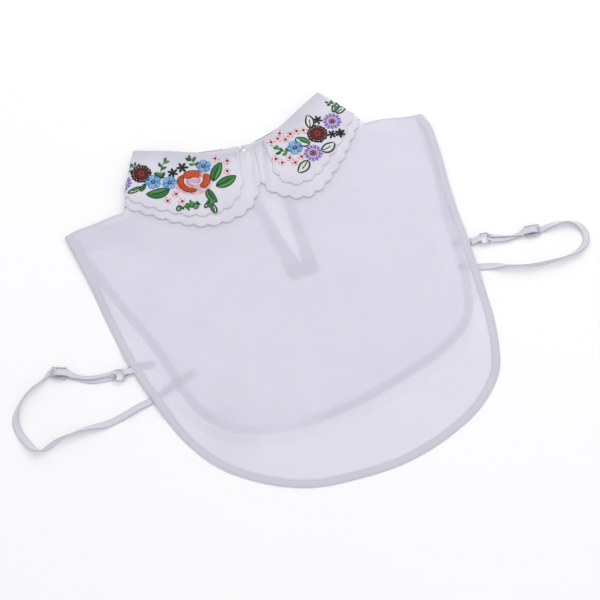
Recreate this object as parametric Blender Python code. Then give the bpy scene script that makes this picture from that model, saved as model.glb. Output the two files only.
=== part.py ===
"""Detachable peter pan collar: a sheer bib with a front, a shorter back and a two-tier scalloped collar,
worn under a jumper and held by an adjustable strap on each side. It lies flat, front up.

Sizes are in millimetres on the garment as it lies, and MM turns them to metres: x runs to the right of the
front as it is seen, y towards the neck and z up from the surface that it lies on.
"""

import math

import bmesh
import bpy
import numpy as np

MM = 0.001
MIDDLE = (-3.95, 9.28)  # middle of the whole outline, which becomes the origin
SIDES = ("left", "right")

# Cloth walls, the gap that neighbours keep, and how high each layer lies
WALL = 1.0
GAP = 0.3
HEM_WIDTH = 10.0
HEM_EXTRA = 0.5
COLLAR_LIFT = 2 * (WALL + GAP)  # the back panel lies on two leaves of collar
COLLAR_RAMP = (12.0, 44.0)  # distance outside the collar where the panels start and end their way down
FRONT_LIFT = 3.2  # underside of the front above that of the back, over hem, facing and straps
BACK_RAMP = (7.0, 22.0)  # distance outside the back where the front starts and ends its way down

# Outlines of the two panels: columns x, y
SHOULDER = {
    "left": [(-187, 149), (-170, 151), (-150, 151.5), (-131, 150), (-121, 149.5)],
    "right": [(187.5, 150), (168, 154.5), (150, 158), (136, 157.5), (127.5, 157)],
}
FRONT_SIDE = {
    "left": [(-187, 149), (-184.5, 104), (-180.5, 40), (-175, -8), (-166.5, -50), (-153.5, -97),
             (-134, -132)],
    "right": [(187.5, 150), (192.5, 138), (191, 110), (183, 60), (176, 0), (171, -45), (164, -92),
              (149, -136)],
}
FRONT_BOTTOM = [(-134, -132), (-101, -162), (-60, -183), (-18, -190.5), (30, -192), (78, -182.5), (121, -163),
                (149, -136)]
BACK_SIDE = {
    "left": [(-187, 149), (-178, 104), (-166, 58), (-153, 15), (-146, -15), (-141, -48), (-128, -83)],
    "right": [(187.5, 150), (189, 130), (184, 90), (173.5, 40), (167, 0), (160.5, -40), (144, -79)],
}
BACK_BOTTOM = [(-128, -83), (-107, -105), (-72, -120), (-30, -125), (18, -122), (65, -113), (108, -101),
               (144, -79)]
SHOULDER_STATIONS = (0.0, 0.15, 0.185, 0.4, 0.6, 0.8, 1.0)
FOLD_COLUMNS = 3
NECK_COLUMNS = 10
ROW_STATIONS = (0, 0.04, 0.09, 0.14, 0.18, 0.22, 0.26, 0.3, 0.35, 0.42, 0.5, 0.58, 0.66, 0.74, 0.82, 0.9,
                0.958, 0.966, 1)

# Collar: its fold round the neck, from centre to shoulder, the lower end of its shoulder folds, and the
# smooth line that carries each scalloped edge, all as columns x, y
NECK_FOLD = {
    "left": [(13, 170.5), (-1, 171.5), (-20, 178), (-41, 187), (-64, 197.5), (-90, 208)],
    "right": [(14.4, 170.5), (28, 174.5), (46, 181), (64, 189), (80, 197), (98, 205)],
}
SHOULDER_FOLD_END = {"left": (-119.5, 153.5), "right": (126, 161)}
UNDER_EDGE = {
    "left": [(12.6, 137), (5, 122), (-11, 109.5), (-35, 104), (-58, 108), (-83, 122.5), (-103, 139)],
    "right": [(14.8, 137), (18, 121), (28, 110), (45, 101.5), (62, 104), (80, 116), (100, 133), (114, 148)],
}
UPPER_EDGE = {
    "left": [(-5, 144), (-13, 130), (-26, 119), (-42, 116), (-64, 122), (-86, 136), (-104, 150)],
    "right": [(29, 144), (31, 130), (39, 119.5), (52, 117), (66, 121), (82, 132), (98, 145), (110, 157)],
}
UPPER_FOLD_SHARE = 0.84  # the upper leaf covers this share of the shoulder fold
UPPER_SETBACK = 14.5  # its front edge at the neck, from that of the under leaf
CENTRE_BACK = {"left": 5.4, "right": 8.6}
BACK_PEEK = 10.5  # at its middle the back of the neck lies this far above the front
BACK_PEEK_REACH = 0.65
STAND_HEIGHT = 13.0
STAND_TOP = 2.0  # the stand ends this far inside the fold
SCALLOP_PITCH = 13.6
SCALLOP_DEPTH = 2.8
POINTS_PER_SCALLOP = 3
FOLD_STEPS = 5
FOLD_MIDDLE = COLLAR_LIFT + (FRONT_LIFT + WALL) / 2
UPPER_RADIUS = FOLD_MIDDLE - WALL / 2
UNDER_RADIUS = UPPER_RADIUS - WALL - GAP
STAND_RADIUS = UNDER_RADIUS - WALL - GAP

# Rows of a leaf: columns share of the way to its edge, share of the fold's height, reach beyond the fold
UNDER_ROWS = [(0.03, 1.0, 0.0), (0.46, 1.0, 0.0), (0.92, 1.0, 0.0), (1.0, 1.0, 0.0)]
UPPER_ROWS = [(0.0, 0.45, 0.2), (0.0, 0.8, 0.8), (0.05, 1.0, 0.0), (0.46, 1.0, 0.0), (0.92, 1.0, 0.0),
              (1.0, 1.0, 0.0)]

# Opening at the centre back, and the facing round it: columns y, middle x, half width
SLIT = [(186, 7, 1.2), (168, 8.5, 2.5), (150, 10.5, 7.0), (125, 12.5, 9.6), (104, 13.5, 9.3), (85, 14.5, 7.6),
        (65, 15.5, 5.4), (48, 16, 3.2), (37, 16.2, 0.6)]
FACING = [(150, 11, 20.5), (128, 12, 19.6), (106, 13, 18.6), (86, 13.8, 17.4), (66, 14.4, 16.4),
          (46, 14.8, 15.3), (25, 15, 14.5)]
FACING_GAP = 0.6
FACING_ROWS = 13
CUTTER_REACH = 20.0

# Pearl button at the back of the neck, and the cord loop that it goes through
BUTTON_RADIUS = 2.2
BUTTON_AT = (7.4, 174.6)
LOOP_CORD = 0.45
LOOP_RADIUS = 3.1

# Straps of flat elastic: columns x, y, and how far the band is rolled from flat, in degrees
STRAP_WIDTH = 6.6
STRAP_ROUTE = {
    "left": [(-124, -36, 0), (-142, -40, 0), (-154, -44, 0), (-166, -47, 0), (-180, -49, 14), (-195, -52, 12),
             (-207, -54, 0), (-216, -54.5, 12), (-227, -53, 50), (-239, -52, 78), (-250, -52.5, 65),
             (-262, -54, 52), (-272, -57.5, 50), (-280, -58.5, 58), (-286, -53, 42), (-290, -44, 18),
             (-293, -33, 12), (-293, -22, 38), (-288, -11, 64), (-280, -2, 76), (-268, 5, 78),
             (-256, 9.5, 45)],
    "right": [(152, -23, 0), (163, -27, 0), (175, -31, 0), (188, -35.5, 0), (200, -40, 14), (211, -45, 66),
              (224, -49.5, 70), (240, -52, 52), (256, -52.5, 44), (270, -51, 38), (281, -45, 24),
              (285.5, -35, 12), (283.5, -25, 30), (275, -18, 54), (264, -15.5, 50), (255, -15.3, 25)],
}
TAB_ROUTE = {
    "left": [(-139, -9), (-150, -8.5), (-160, -8), (-169, -7.8)],
    "right": [(154, 3.5), (162, 2.8), (170, 2), (177, 0.6)],
}
SLIDER_AT = {"left": (-240, 11), "right": (238.5, -14)}
RING_AT = {"left": (-187.5, -12.5), "right": (191.5, -5)}
DOUBLED_BOW = {"left": -5.5, "right": 4.5}  # how far the doubled band swings off the straight line
DOUBLED_SPREAD = 1.6
DOUBLED_STATIONS = 9
DOUBLED_ENDS = (6.0, 5.0)  # it starts this far past the slider's end bar, and ends this far before the ring
DOUBLED_TOP = 1.5 * WALL + GAP + 0.2
RIG_HEIGHT = 2.2  # middle of ring and slider above the surface
RING_HALF = (5.4, 5.8)
RING_CORNER = 3.6
RING_WIRE = 0.9
NARROWED = 0.56  # share of its width that the band has in the ring
SLIDER_HALF = (7.4, 6.0)
SLIDER_BAR = 1.2
SLIDER_WALL = 1.2
SLIDER_CORNER = 1.6
RING_WRAP = RING_WIRE + GAP + WALL / 2
BAR_WRAP = math.hypot(SLIDER_BAR, SLIDER_WALL) / 2 + GAP + WALL / 2
RUN_TOP = RIG_HEIGHT + BAR_WRAP + WALL + GAP
RUN_CLIMB = (-1.18, -0.8, -0.45, -0.22, 0.0)  # stations of the climb, with the slider's end bar at -1
RUN_FALL = ((0.6, RUN_TOP - 0.45), (1.1, RIG_HEIGHT + SLIDER_WALL / 2 + WALL / 2 + 2 * GAP))
TAB_END = ((4.0, 1.5 * WALL + GAP + 1.2), (9.0, 1.5 * WALL + GAP + 0.1))  # columns past the ring, height
TAB_NARROWS = (0.5, 1.0)
STRAP_LIFT = (1.6, 0.8)  # the front rises this much over a strap, and this much less over the back's hem
STRAP_ZONE = (14.0, 32.0)
HEM_CLIMB = WALL + HEM_EXTRA + GAP
CLIMB_RAMP = (2.0, 9.0)
LYING_GAP = 0.15  # a rolled band stands this far clear, so that none of its corners goes below the surface


def clear_scene():
    for thing in list(bpy.data.objects):
        bpy.data.objects.remove(thing, do_unlink=True)


def finish_of(name, colour, roughness):
    material = bpy.data.materials.new(name)
    material.use_nodes = True
    shader = material.node_tree.nodes["Principled BSDF"]
    shader.inputs["Base Color"].default_value = (*colour, 1.0)
    shader.inputs["Roughness"].default_value = roughness
    return material


def at_length(line, stations):
    """Points on a line of points, at shares of its length from 0 to 1."""
    line = np.array(line, float)
    length = np.concatenate([[0], np.cumsum(np.linalg.norm(np.diff(line[:, :2], axis=0), axis=1))])
    return np.stack([np.interp(np.array(stations) * length[-1], length, column) for column in line.T], axis=1)


def curve(points):
    """A fine line of points on a smooth curve through the given ones."""
    points = np.array(points, float)
    at = np.concatenate([[0], np.cumsum(np.linalg.norm(np.diff(points[:, :2], axis=0), axis=1))])
    slope = np.gradient(points, at, axis=0)
    fine = np.linspace(0, at[-1], 12 * len(points) + 1)
    span = np.clip(np.searchsorted(at, fine, side="right") - 1, 0, len(at) - 2)
    width = (at[span + 1] - at[span])[:, None]
    t = (fine - at[span])[:, None] / width
    return (
        points[span] * (2 * t**3 - 3 * t**2 + 1)
        + slope[span] * width * (t**3 - 2 * t**2 + t)
        + points[span + 1] * (3 * t**2 - 2 * t**3)
        + slope[span + 1] * width * (t**3 - t**2)
    )


def length_of(line):
    return np.linalg.norm(np.diff(line[:, :2], axis=0), axis=1).sum()


def unit(vectors):
    return vectors / np.linalg.norm(vectors, axis=-1, keepdims=True)


def smooth_step(limits, value):
    share = np.clip((np.asarray(value, float) - limits[0]) / (limits[1] - limits[0]), 0, 1)
    return share * share * (3 - 2 * share)


def distance(points, line):
    """How far each point is from a line of points."""
    starts, steps = line[:-1], np.diff(line, axis=0)
    squares = np.maximum((steps**2).sum(1), 1e-9)
    share = np.clip(((points[:, None] - starts) * steps).sum(2) / squares, 0, 1)
    return np.linalg.norm(points[:, None] - starts - share[..., None] * steps, axis=2).min(1)


def outside(points, outline):
    """How far each point is outside a closed outline: negative inside it."""
    x, y = points[:, 0, None], points[:, 1, None]
    ends = np.roll(outline, -1, axis=0)
    rise = np.where(ends[:, 1] == outline[:, 1], 1e-9, ends[:, 1] - outline[:, 1])
    crossed = (outline[:, 1] > y) != (ends[:, 1] > y)
    within = (crossed & (x < outline[:, 0] + (ends - outline)[:, 0] / rise * (y - outline[:, 1]))).sum(1) % 2
    away = distance(points, np.vstack([outline, outline[:1]]))
    return np.where(within == 1, -away, away)


def neck_line(side, back, setback=0.0):
    """The collar's fold round the neck, from the centre to the shoulder fold."""
    line = curve(NECK_FOLD[side])
    start, corner = line[0, 0], line[-1, 0]
    line = line[np.abs(line[:, 0] - start) >= setback]
    if not back:
        return line
    centre = CENTRE_BACK[side]
    line[:, 0] = centre + (line[:, 0] - start) * (corner - centre) / (corner - start)
    share = np.abs((line[:, 0] - centre) / (corner - centre)) / BACK_PEEK_REACH
    line[:, 1] += BACK_PEEK * np.cos(np.pi / 2 * np.clip(share, 0, 1)) ** 2
    return line


def edge_line(side, edge, fold_share, back):
    """The smooth line of a leaf's outer edge, from the centre to the shoulder fold."""
    corner = np.array(NECK_FOLD[side][-1])
    end = corner + (np.array(SHOULDER_FOLD_END[side]) - corner) * fold_share
    line = curve([*edge[side], tuple(end)])
    if back:
        start, centre = NECK_FOLD[side][0][0], CENTRE_BACK[side]
        line[:, 0] = centre + (line[:, 0] - start) * (end[0] - centre) / (end[0] - start)
    return line


def columns_down(side, back, setback, edge, fold_share, stations):
    """For each station along the edge: its point at the neck, its point at the edge, and the way out."""
    top = at_length(neck_line(side, back, setback), stations)
    line = edge_line(side, edge, fold_share, back)
    bottom = at_length(line, stations)
    step = 0.004
    ahead = at_length(line, np.clip(np.array(stations) + step, 0, 1))
    behind = at_length(line, np.clip(np.array(stations) - step, 0, 1))
    tangent = unit(ahead - behind)
    normal = np.stack([tangent[:, 1], -tangent[:, 0]], axis=1)
    normal *= np.sign((normal * (bottom - top)).sum(1))[:, None]
    return top, bottom, normal


def scallops(edge_length):
    """Stations of a scalloped edge, and how far each stands out."""
    count = round(edge_length / SCALLOP_PITCH)
    number = np.arange(count * POINTS_PER_SCALLOP + 1)
    return number / number[-1], SCALLOP_DEPTH * np.abs(np.sin(np.pi * number / POINTS_PER_SCALLOP))


def fold_out(side):
    """The way out of a shoulder fold, square to it."""
    along = unit(np.array(NECK_FOLD[side][-1]) - np.array(SHOULDER_FOLD_END[side]))
    square = np.array([-along[1], along[0]])
    return square if side == "left" else -square


def leaf(side, edge, fold_share, setback, radius, rows):
    """One leaf of the collar: it runs from the centre front round the shoulder fold to the centre back."""
    place = []
    for back in (False, True):
        stations, depth = scallops(length_of(edge_line(side, edge, fold_share, back)))
        top, bottom, normal = columns_down(side, back, setback, edge, fold_share, stations)
        down = unit(bottom - top)
        part = []
        for share, height, reach in rows:
            flat = top + (bottom - top) * share - down * reach
            if share == 1.0:
                flat = flat + normal * depth[:, None]
            level = FOLD_MIDDLE + (-height if back else height) * radius
            part.append(np.column_stack([flat, np.full(len(flat), level)]))
        part = np.stack(part, axis=1)
        place.append(part[::-1] if back else part)
    return np.concatenate([place[0], turn_round(place[0][-1], side, radius, rows), place[1]])


def turn_round(last, side, radius, rows):
    """The columns that take a leaf or the stand round its shoulder fold, from front to back."""
    out = np.append(fold_out(side), 0.0)
    turned = []
    for angle in np.linspace(0, np.pi, FOLD_STEPS + 2)[1:-1]:
        height = radius * np.array([row[1] for row in rows])[:, None]
        level = last * (1, 1, 0) + (0, 0, FOLD_MIDDLE)
        turned.append(level + height * (np.sin(angle) * out + np.cos(angle) * np.array([0, 0, 1])))
    return np.array(turned)


def neck_seam(side):
    """The seam that joins the stand to both panels, STAND_HEIGHT inside the front's fold."""
    stations = np.linspace(0, 1, NECK_COLUMNS // 2 + 1)
    top, bottom, _ = columns_down(side, False, 0.0, UNDER_EDGE, 1.0, stations)
    return top + unit(bottom - top) * STAND_HEIGHT, top


def neck_columns(side, back):
    """Points on the neck seam, and points on the fold above them."""
    seam, fold = neck_seam(side)
    if not back:
        return seam, fold
    whole = np.vstack([neck_seam("left")[0][::-1], neck_seam("right")[0]])
    centre, corner = seam[0, 0], seam[-1, 0]
    x = CENTRE_BACK[side] + (seam[:, 0] - centre) * (corner - CENTRE_BACK[side]) / (corner - centre)
    seam = np.column_stack([x, np.interp(x, whole[:, 0], whole[:, 1])])
    return seam, at_length(neck_line(side, True), np.linspace(0, 1, len(seam)))


def collar_outline():
    """The outline that both panels rise to clear: the under leaves, front and neck."""
    left, right = (edge_line(side, UNDER_EDGE, 1.0, False) for side in SIDES)
    neck_left, neck_right = (neck_line(side, False) for side in SIDES)
    return np.vstack([left[::-1], right, neck_right[::-1], neck_left])


def top_of_panel():
    """Points along a panel's upper edge: shoulder, shoulder fold, neck, shoulder fold, shoulder."""
    points = []
    for side in SIDES:
        seam, fold = neck_columns(side, False)
        seam = seam - unit(fold - seam) * 2 * GAP
        seam[-1] = seam[-1] - fold_out(side) * WALL
        fold = at_length([SHOULDER[side][-1], seam[-1]], np.linspace(0, 1, FOLD_COLUMNS + 1))
        shoulder = at_length(curve(SHOULDER[side]), SHOULDER_STATIONS)
        half = np.vstack([shoulder, fold[1:-1], seam[::-1]])
        points.append(half if side == "left" else half[::-1])
    return np.vstack([points[0], points[1][1:]])


def patch(top, sides, bottom):
    """A grid of points [column, row] stretched between four edges."""
    across = np.concatenate([[0], np.cumsum(np.linalg.norm(np.diff(top, axis=0), axis=1))])
    s = (across / across[-1])[:, None, None]
    t = np.array(ROW_STATIONS)[None, :, None]
    left, right = (at_length(curve(sides[side]), ROW_STATIONS)[None] for side in SIDES)
    low = at_length(curve(bottom), s.ravel())[:, None]
    corners = (1 - s) * ((1 - t) * top[0] + t * low[0]) + s * ((1 - t) * top[-1] + t * low[-1])
    return (1 - t) * top[:, None] + t * low + (1 - s) * left + s * right - corners


def back_height(points):
    return COLLAR_LIFT * (1 - smooth_step(COLLAR_RAMP, outside(points, COLLAR_OUTLINE)))


def front_height(points):
    over_back = 1 - smooth_step(BACK_RAMP, outside(points, BACK_OUTLINE))
    routes = [np.array(route[side])[:4, :2] for route in (STRAP_ROUTE, TAB_ROUTE) for side in SIDES]
    near = np.min([distance(points, route) for route in routes], axis=0)
    over_strap = 1 - smooth_step(STRAP_ZONE, near)
    lift = STRAP_LIFT[0] - STRAP_LIFT[1] * over_back
    return back_height(points) + FRONT_LIFT * over_back + lift * over_strap


def link(name, data, material):
    thing = bpy.data.objects.new(name, data)
    data.materials.append(material)
    bpy.context.scene.collection.objects.link(thing)
    return thing


def world(point):
    return ((point[0] - MIDDLE[0]) * MM, (point[1] - MIDDLE[1]) * MM, point[2] * MM)


def grid(place, walls=None):
    """A bmesh grid whose point (column, row) lies at place[column, row]. Each point carries its wall."""
    columns, rows = place.shape[:2]
    mesh = bmesh.new()
    bmesh.ops.create_grid(mesh, x_segments=columns - 1, y_segments=rows - 1, size=0.5)
    layer = mesh.verts.layers.float.new("wall")
    for point in mesh.verts:
        column = round((point.co.x + 0.5) * (columns - 1))
        row = round((point.co.y + 0.5) * (rows - 1))
        point.co = world(place[column, row])
        if walls is not None:
            point[layer] = walls[column, row] * MM
    return mesh, layer


def smooth_object(mesh, name, material):
    data = bpy.data.meshes.new(name)
    mesh.to_mesh(data)
    mesh.free()
    data.shade_smooth()
    data.set_sharp_from_angle(angle=math.radians(40))
    return link(name, data, material)


def sheet(name, place, material):
    """Cloth whose middle surface goes through place[column, row]."""
    mesh, _ = grid(place)
    thing = smooth_object(mesh, name, material)
    solid = thing.modifiers.new("wall", "SOLIDIFY")
    solid.thickness = WALL * MM
    solid.offset = 0.0
    solid.use_even_offset = True
    return thing


def plate(name, ground, walls, material):
    """Cloth that rests on ground[column, row], with its own wall at each point."""
    mesh, layer = grid(ground, walls)
    raised = bmesh.ops.extrude_face_region(mesh, geom=mesh.faces[:])["geom"]
    for point in raised:
        if isinstance(point, bmesh.types.BMVert):
            point.co.z += point[layer]
    mesh.normal_update()
    bmesh.ops.recalc_face_normals(mesh, faces=mesh.faces[:])
    return smooth_object(mesh, name, material)


def panel(name, sides, bottom, height, material):
    flat = patch(top_of_panel(), sides, bottom)
    points = flat.reshape(-1, 2)
    hemmed = np.vstack([curve(sides["left"]), curve(bottom), curve(sides["right"])[::-1]])
    edge = smooth_step((HEM_WIDTH - 1, HEM_WIDTH + 2), distance(points, hemmed))
    walls = (WALL + HEM_EXTRA * (1 - edge)).reshape(flat.shape[:2])
    return plate(name, np.dstack([flat, height(points).reshape(flat.shape[:2])]), walls, material)


def slit_cutter():
    """The shape of the opening at the centre back, long enough to cut the panel and the facing."""
    rows = np.array(SLIT)
    outline = np.vstack([
        curve(np.column_stack([rows[:, 1] - rows[:, 2], rows[:, 0]])),
        curve(np.column_stack([rows[:, 1] + rows[:, 2], rows[:, 0]]))[::-1],
    ])[::4]
    mesh = bmesh.new()
    ring = [mesh.verts.new(world((x, y, -CUTTER_REACH))) for x, y in outline]
    mesh.faces.new(ring)
    raised = bmesh.ops.extrude_face_region(mesh, geom=mesh.faces[:])["geom"]
    raised = [point for point in raised if isinstance(point, bmesh.types.BMVert)]
    bmesh.ops.translate(mesh, vec=(0, 0, 2 * CUTTER_REACH * MM), verts=raised)
    mesh.normal_update()
    bmesh.ops.recalc_face_normals(mesh, faces=mesh.faces[:])
    data = bpy.data.meshes.new("slit_cutter")
    mesh.to_mesh(data)
    mesh.free()
    cutter = bpy.data.objects.new("slit_cutter", data)
    bpy.context.scene.collection.objects.link(cutter)
    cutter.hide_render = True
    cutter.display_type = "WIRE"
    return cutter


def cut(thing, cutter):
    opening = thing.modifiers.new("slit", "BOOLEAN")
    opening.operation = "DIFFERENCE"
    opening.solver = "EXACT"
    opening.object = cutter


def facing(material):
    rows = at_length(FACING, np.linspace(0, 1, FACING_ROWS))
    share = np.linspace(-1, 1, 5)[:, None]
    flat = np.dstack([rows[:, 1] + share * rows[:, 2], rows[:, 0] + 0 * share])
    ground = back_height(flat.reshape(-1, 2)).reshape(flat.shape[:2]) + WALL + FACING_GAP
    return plate("slit_facing", np.dstack([flat, ground]), np.full(flat.shape[:2], WALL), material)


def stand(material):
    """The neck band that carries the leaves: a strip from the centre back, round the front, to the back."""
    rows = [(0, 1.0, 0), (1, 1.0, 0)]
    halves = []
    for side in SIDES:
        layers = []
        for back, height in ((False, FOLD_MIDDLE + STAND_RADIUS), (True, FOLD_MIDDLE - STAND_RADIUS)):
            seam, fold = neck_columns(side, back)
            flat = np.stack([seam, fold - unit(fold - seam) * STAND_TOP], axis=1)
            layers.append(np.dstack([flat, np.full(flat.shape[:2], height)]))
        front, back = layers
        halves.append(np.concatenate([front, turn_round(front[-1], side, STAND_RADIUS, rows), back[::-1]]))
    return sheet("neck_stand", np.concatenate([halves[0][::-1], halves[1][1:]]), material)


def button(material):
    mesh = bmesh.new()
    bmesh.ops.create_icosphere(mesh, subdivisions=2, radius=BUTTON_RADIUS * MM)
    height = FOLD_MIDDLE - STAND_RADIUS + WALL / 2 + GAP + BUTTON_RADIUS
    bmesh.ops.translate(mesh, vec=world((*BUTTON_AT, height)), verts=mesh.verts)
    return smooth_object(mesh, "pearl_button", material)


def tube(name, points, radius, closed, material):
    """A round wire or cord along a line of points."""
    data = bpy.data.curves.new(name, "CURVE")
    data.dimensions = "3D"
    data.bevel_depth = radius * MM
    data.bevel_resolution = 1
    data.use_fill_caps = True
    spline = data.splines.new("POLY")
    spline.points.add(len(points) - 1)
    for target, point in zip(spline.points, points):
        target.co = (*world(point), 1.0)
    spline.use_cyclic_u = closed
    return link(name, data, material)


def button_loop(material):
    """A cord loop from the other edge, lying round the button on the stand."""
    height = FOLD_MIDDLE - STAND_RADIUS + WALL / 2 + GAP + LOOP_CORD
    points = [
        (BUTTON_AT[0] + LOOP_RADIUS * math.cos(angle), BUTTON_AT[1] + LOOP_RADIUS * math.sin(angle), height)
        for angle in np.radians(np.arange(10, 341, 30))
    ]
    return tube("button_loop", points, LOOP_CORD, False, material)


def rig(side):
    """Slider and ring of a strap: the slider's middle, the way to the ring, the way across, and how far."""
    start, end = np.array(SLIDER_AT[side]), np.array(RING_AT[side])
    along = unit(end - start)
    return start, along, np.array([-along[1], along[0]]), np.linalg.norm(end - start)


def band(name, middles, ways, widths, material):
    """Flat elastic along middles, which reaches half its width each way."""
    half = ways * widths[:, None] / 2
    return sheet(name, np.stack([middles - half, middles + half], axis=1), material)


def lying(route):
    """Middles of a band that lies on the surface and climbs over the back's hem, and its way across."""
    line = curve(route)
    line = at_length(line, np.linspace(0, 1, round(length_of(line) / 6)))
    tangent = unit(np.gradient(line[:, :2], axis=0))
    roll = np.radians(line[:, 2])
    way = np.column_stack([-tangent[:, 1] * np.cos(roll), tangent[:, 0] * np.cos(roll), np.sin(roll)])
    height = STRAP_WIDTH / 2 * np.sin(roll) + WALL / 2 * np.cos(roll) + LYING_GAP
    climb = HEM_CLIMB * (1 - smooth_step(CLIMB_RAMP, outside(line[:, :2], BACK_OUTLINE)))
    return np.column_stack([line[:, :2], height + climb]), way


def arc(middle, radius, start, end, steps):
    """Points (along, height) on an arc, whose angles run in degrees from straight up towards the ring."""
    turns = np.radians(np.linspace(start, end, steps))
    return [(middle + radius * math.sin(turn), RIG_HEIGHT + radius * math.cos(turn)) for turn in turns]


def strap(side, material):
    """One elastic: hem, loop, slider, ring, and back to its sewn end round the slider's middle bar."""
    middles, ways = lying(STRAP_ROUTE[side])
    start, along, across, reach = rig(side)
    bar = SLIDER_HALF[0] - SLIDER_BAR / 2
    far_wire = reach - RING_HALF[0]
    low = WALL / 2 + LYING_GAP
    rows = []
    for share in RUN_CLIMB:
        rise = math.cos(math.pi / 2 * min(1.0, -share)) ** 2
        rows.append((bar * share, low + (RUN_TOP - low) * rise, 0.0, 1.0))
    rows += [(bar * share, height, 0.0, 1.0) for share, height in RUN_FALL]
    stations = np.linspace(bar + DOUBLED_ENDS[0], far_wire - DOUBLED_ENDS[1], DOUBLED_STATIONS)
    narrow = 1 - (1 - NARROWED) * smooth_step((bar, far_wire), stations)
    rows += [(place, DOUBLED_TOP, 1.0, width) for place, width in zip(stations, narrow)]
    rows += [(place, height, 0.0, NARROWED) for place, height in arc(far_wire, RING_WRAP, 0, 180, 7)]
    rows += [(place, WALL / 2, -1.0, width) for place, width in zip(stations[::-1], narrow[::-1])]
    rows.append((bar, WALL / 2, 0.0, 1.0))
    rows += [(place, height, 0.0, 1.0) for place, height in arc(0.0, BAR_WRAP, 180, 380, 9)]
    points = []
    for place, height, spread, _ in rows:
        swing = abs(spread) * math.sin(math.pi * min(1.0, max(0.0, place / reach))) ** 2
        flat = start + along * place + across * swing * (DOUBLED_BOW[side] + DOUBLED_SPREAD * spread)
        points.append((*flat, height))
    widths = [1.0] * len(middles) + [width for *_, width in rows]
    ways = np.vstack([ways, [(*across, 0.0)] * len(points)])
    return band(f"strap_{side}", np.vstack([middles, points]), ways, STRAP_WIDTH * np.array(widths), material)


def tab(side, material):
    """Short elastic from the back's hem round the ring, with its end turned back on top."""
    middles, ways = lying([(*point, 0) for point in TAB_ROUTE[side]])
    start, along, across, reach = rig(side)
    wire = reach + RING_HALF[0]
    rows = arc(wire, RING_WRAP, 180, 360, 7) + [(wire + past, height) for past, height in TAB_END]
    points = [(*(start + along * place), height) for place, height in rows]
    if (ways[-1, :2] * across).sum() < 0:
        ways = -ways
    ways = np.vstack([ways, [(*across, 0.0)] * len(points)])
    share = np.linspace(0, 1, len(middles))
    narrow = 1 - (1 - NARROWED) * smooth_step(TAB_NARROWS, share)
    widths = STRAP_WIDTH * np.concatenate([narrow, [NARROWED] * len(points)])
    return band(f"strap_tab_{side}", np.vstack([middles, points]), ways, widths, material)


def ring(side, material):
    start, along, across, reach = rig(side)
    points = []
    for quarter, (turn_x, turn_y) in enumerate(((1, 1), (-1, 1), (-1, -1), (1, -1))):
        for angle in np.radians(np.linspace(0, 90, 5) + 90 * quarter):
            place = turn_x * (RING_HALF[0] - RING_CORNER) + RING_CORNER * math.cos(angle)
            aside = turn_y * (RING_HALF[1] - RING_CORNER) + RING_CORNER * math.sin(angle)
            points.append((*(start + along * (reach + place) + across * aside), RIG_HEIGHT))
    return tube(f"strap_ring_{side}", points, RING_WIRE, True, material)


def box(mesh, start, along, across, place, aside, half, wall):
    """Adds a box to a bmesh: its middle along and across a strap, its half sizes, and its wall."""
    made = bmesh.ops.create_cube(mesh, size=1.0)["verts"]
    for point in made:
        flat = start + along * (place + 2 * half[0] * point.co.x)
        flat = flat + across * (aside + 2 * half[1] * point.co.y)
        point.co = world((*flat, RIG_HEIGHT + wall * point.co.z))
    mesh.normal_update()
    return made


def slider(side, material):
    """A flat plastic slider with two windows for the band."""
    start, along, across, _ = rig(side)
    mesh = bmesh.new()
    box(mesh, start, along, across, 0.0, 0.0, SLIDER_HALF, SLIDER_WALL)
    upright = [e for e in mesh.edges if abs(e.verts[0].co.z - e.verts[1].co.z) > SLIDER_WALL * MM / 2]
    bmesh.ops.bevel(
        mesh, geom=upright, offset=SLIDER_CORNER * MM, segments=3, profile=0.5, affect="EDGES", material=-1
    )
    thing = smooth_object(mesh, f"strap_slider_{side}", material)
    window = ((SLIDER_HALF[0] - 1.5 * SLIDER_BAR) / 2, SLIDER_HALF[1] - SLIDER_BAR)
    middle = SLIDER_BAR / 2 + window[0]
    for number, place in enumerate((-middle, middle)):
        mesh = bmesh.new()
        box(mesh, start, along, across, place, 0.0, window, 10 * SLIDER_WALL)
        data = bpy.data.meshes.new("window_cutter")
        mesh.to_mesh(data)
        mesh.free()
        cutter = bpy.data.objects.new(f"window_cutter_{side}_{number}", data)
        bpy.context.scene.collection.objects.link(cutter)
        cutter.hide_render = True
        cutter.display_type = "WIRE"
        cut(thing, cutter)
    return thing


clear_scene()
COLLAR_OUTLINE = collar_outline()
BACK_OUTLINE = np.vstack([
    curve(BACK_SIDE["left"]), curve(BACK_BOTTOM)[1:],
    curve(BACK_SIDE["right"])[::-1][1:], top_of_panel()[::-1][1:-1],
])

chiffon = finish_of("White chiffon", (0.78, 0.77, 0.83), 0.75)
organza = finish_of("White embroidered organza", (0.72, 0.71, 0.77), 0.7)
elastic = finish_of("White elastic tape", (0.86, 0.86, 0.88), 0.65)
plastic = finish_of("Clear white nylon", (0.9, 0.9, 0.92), 0.25)
pearl = finish_of("Pearl plastic", (0.95, 0.94, 0.92), 0.2)

opening = slit_cutter()
cut(panel("back_panel", BACK_SIDE, BACK_BOTTOM, back_height, chiffon), opening)
cut(facing(chiffon), opening)
panel("front_panel", FRONT_SIDE, FRONT_BOTTOM, front_height, chiffon)
stand(organza)
for side in SIDES:
    sheet(f"collar_under_leaf_{side}", leaf(side, UNDER_EDGE, 1.0, 0.0, UNDER_RADIUS, UNDER_ROWS), organza)
    leaf_place = leaf(side, UPPER_EDGE, UPPER_FOLD_SHARE, UPPER_SETBACK, UPPER_RADIUS, UPPER_ROWS)
    sheet(f"collar_upper_leaf_{side}", leaf_place, organza)
    strap(side, elastic)
    tab(side, elastic)
    ring(side, plastic)
    slider(side, plastic)
button(pearl)
button_loop(elastic)
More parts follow.
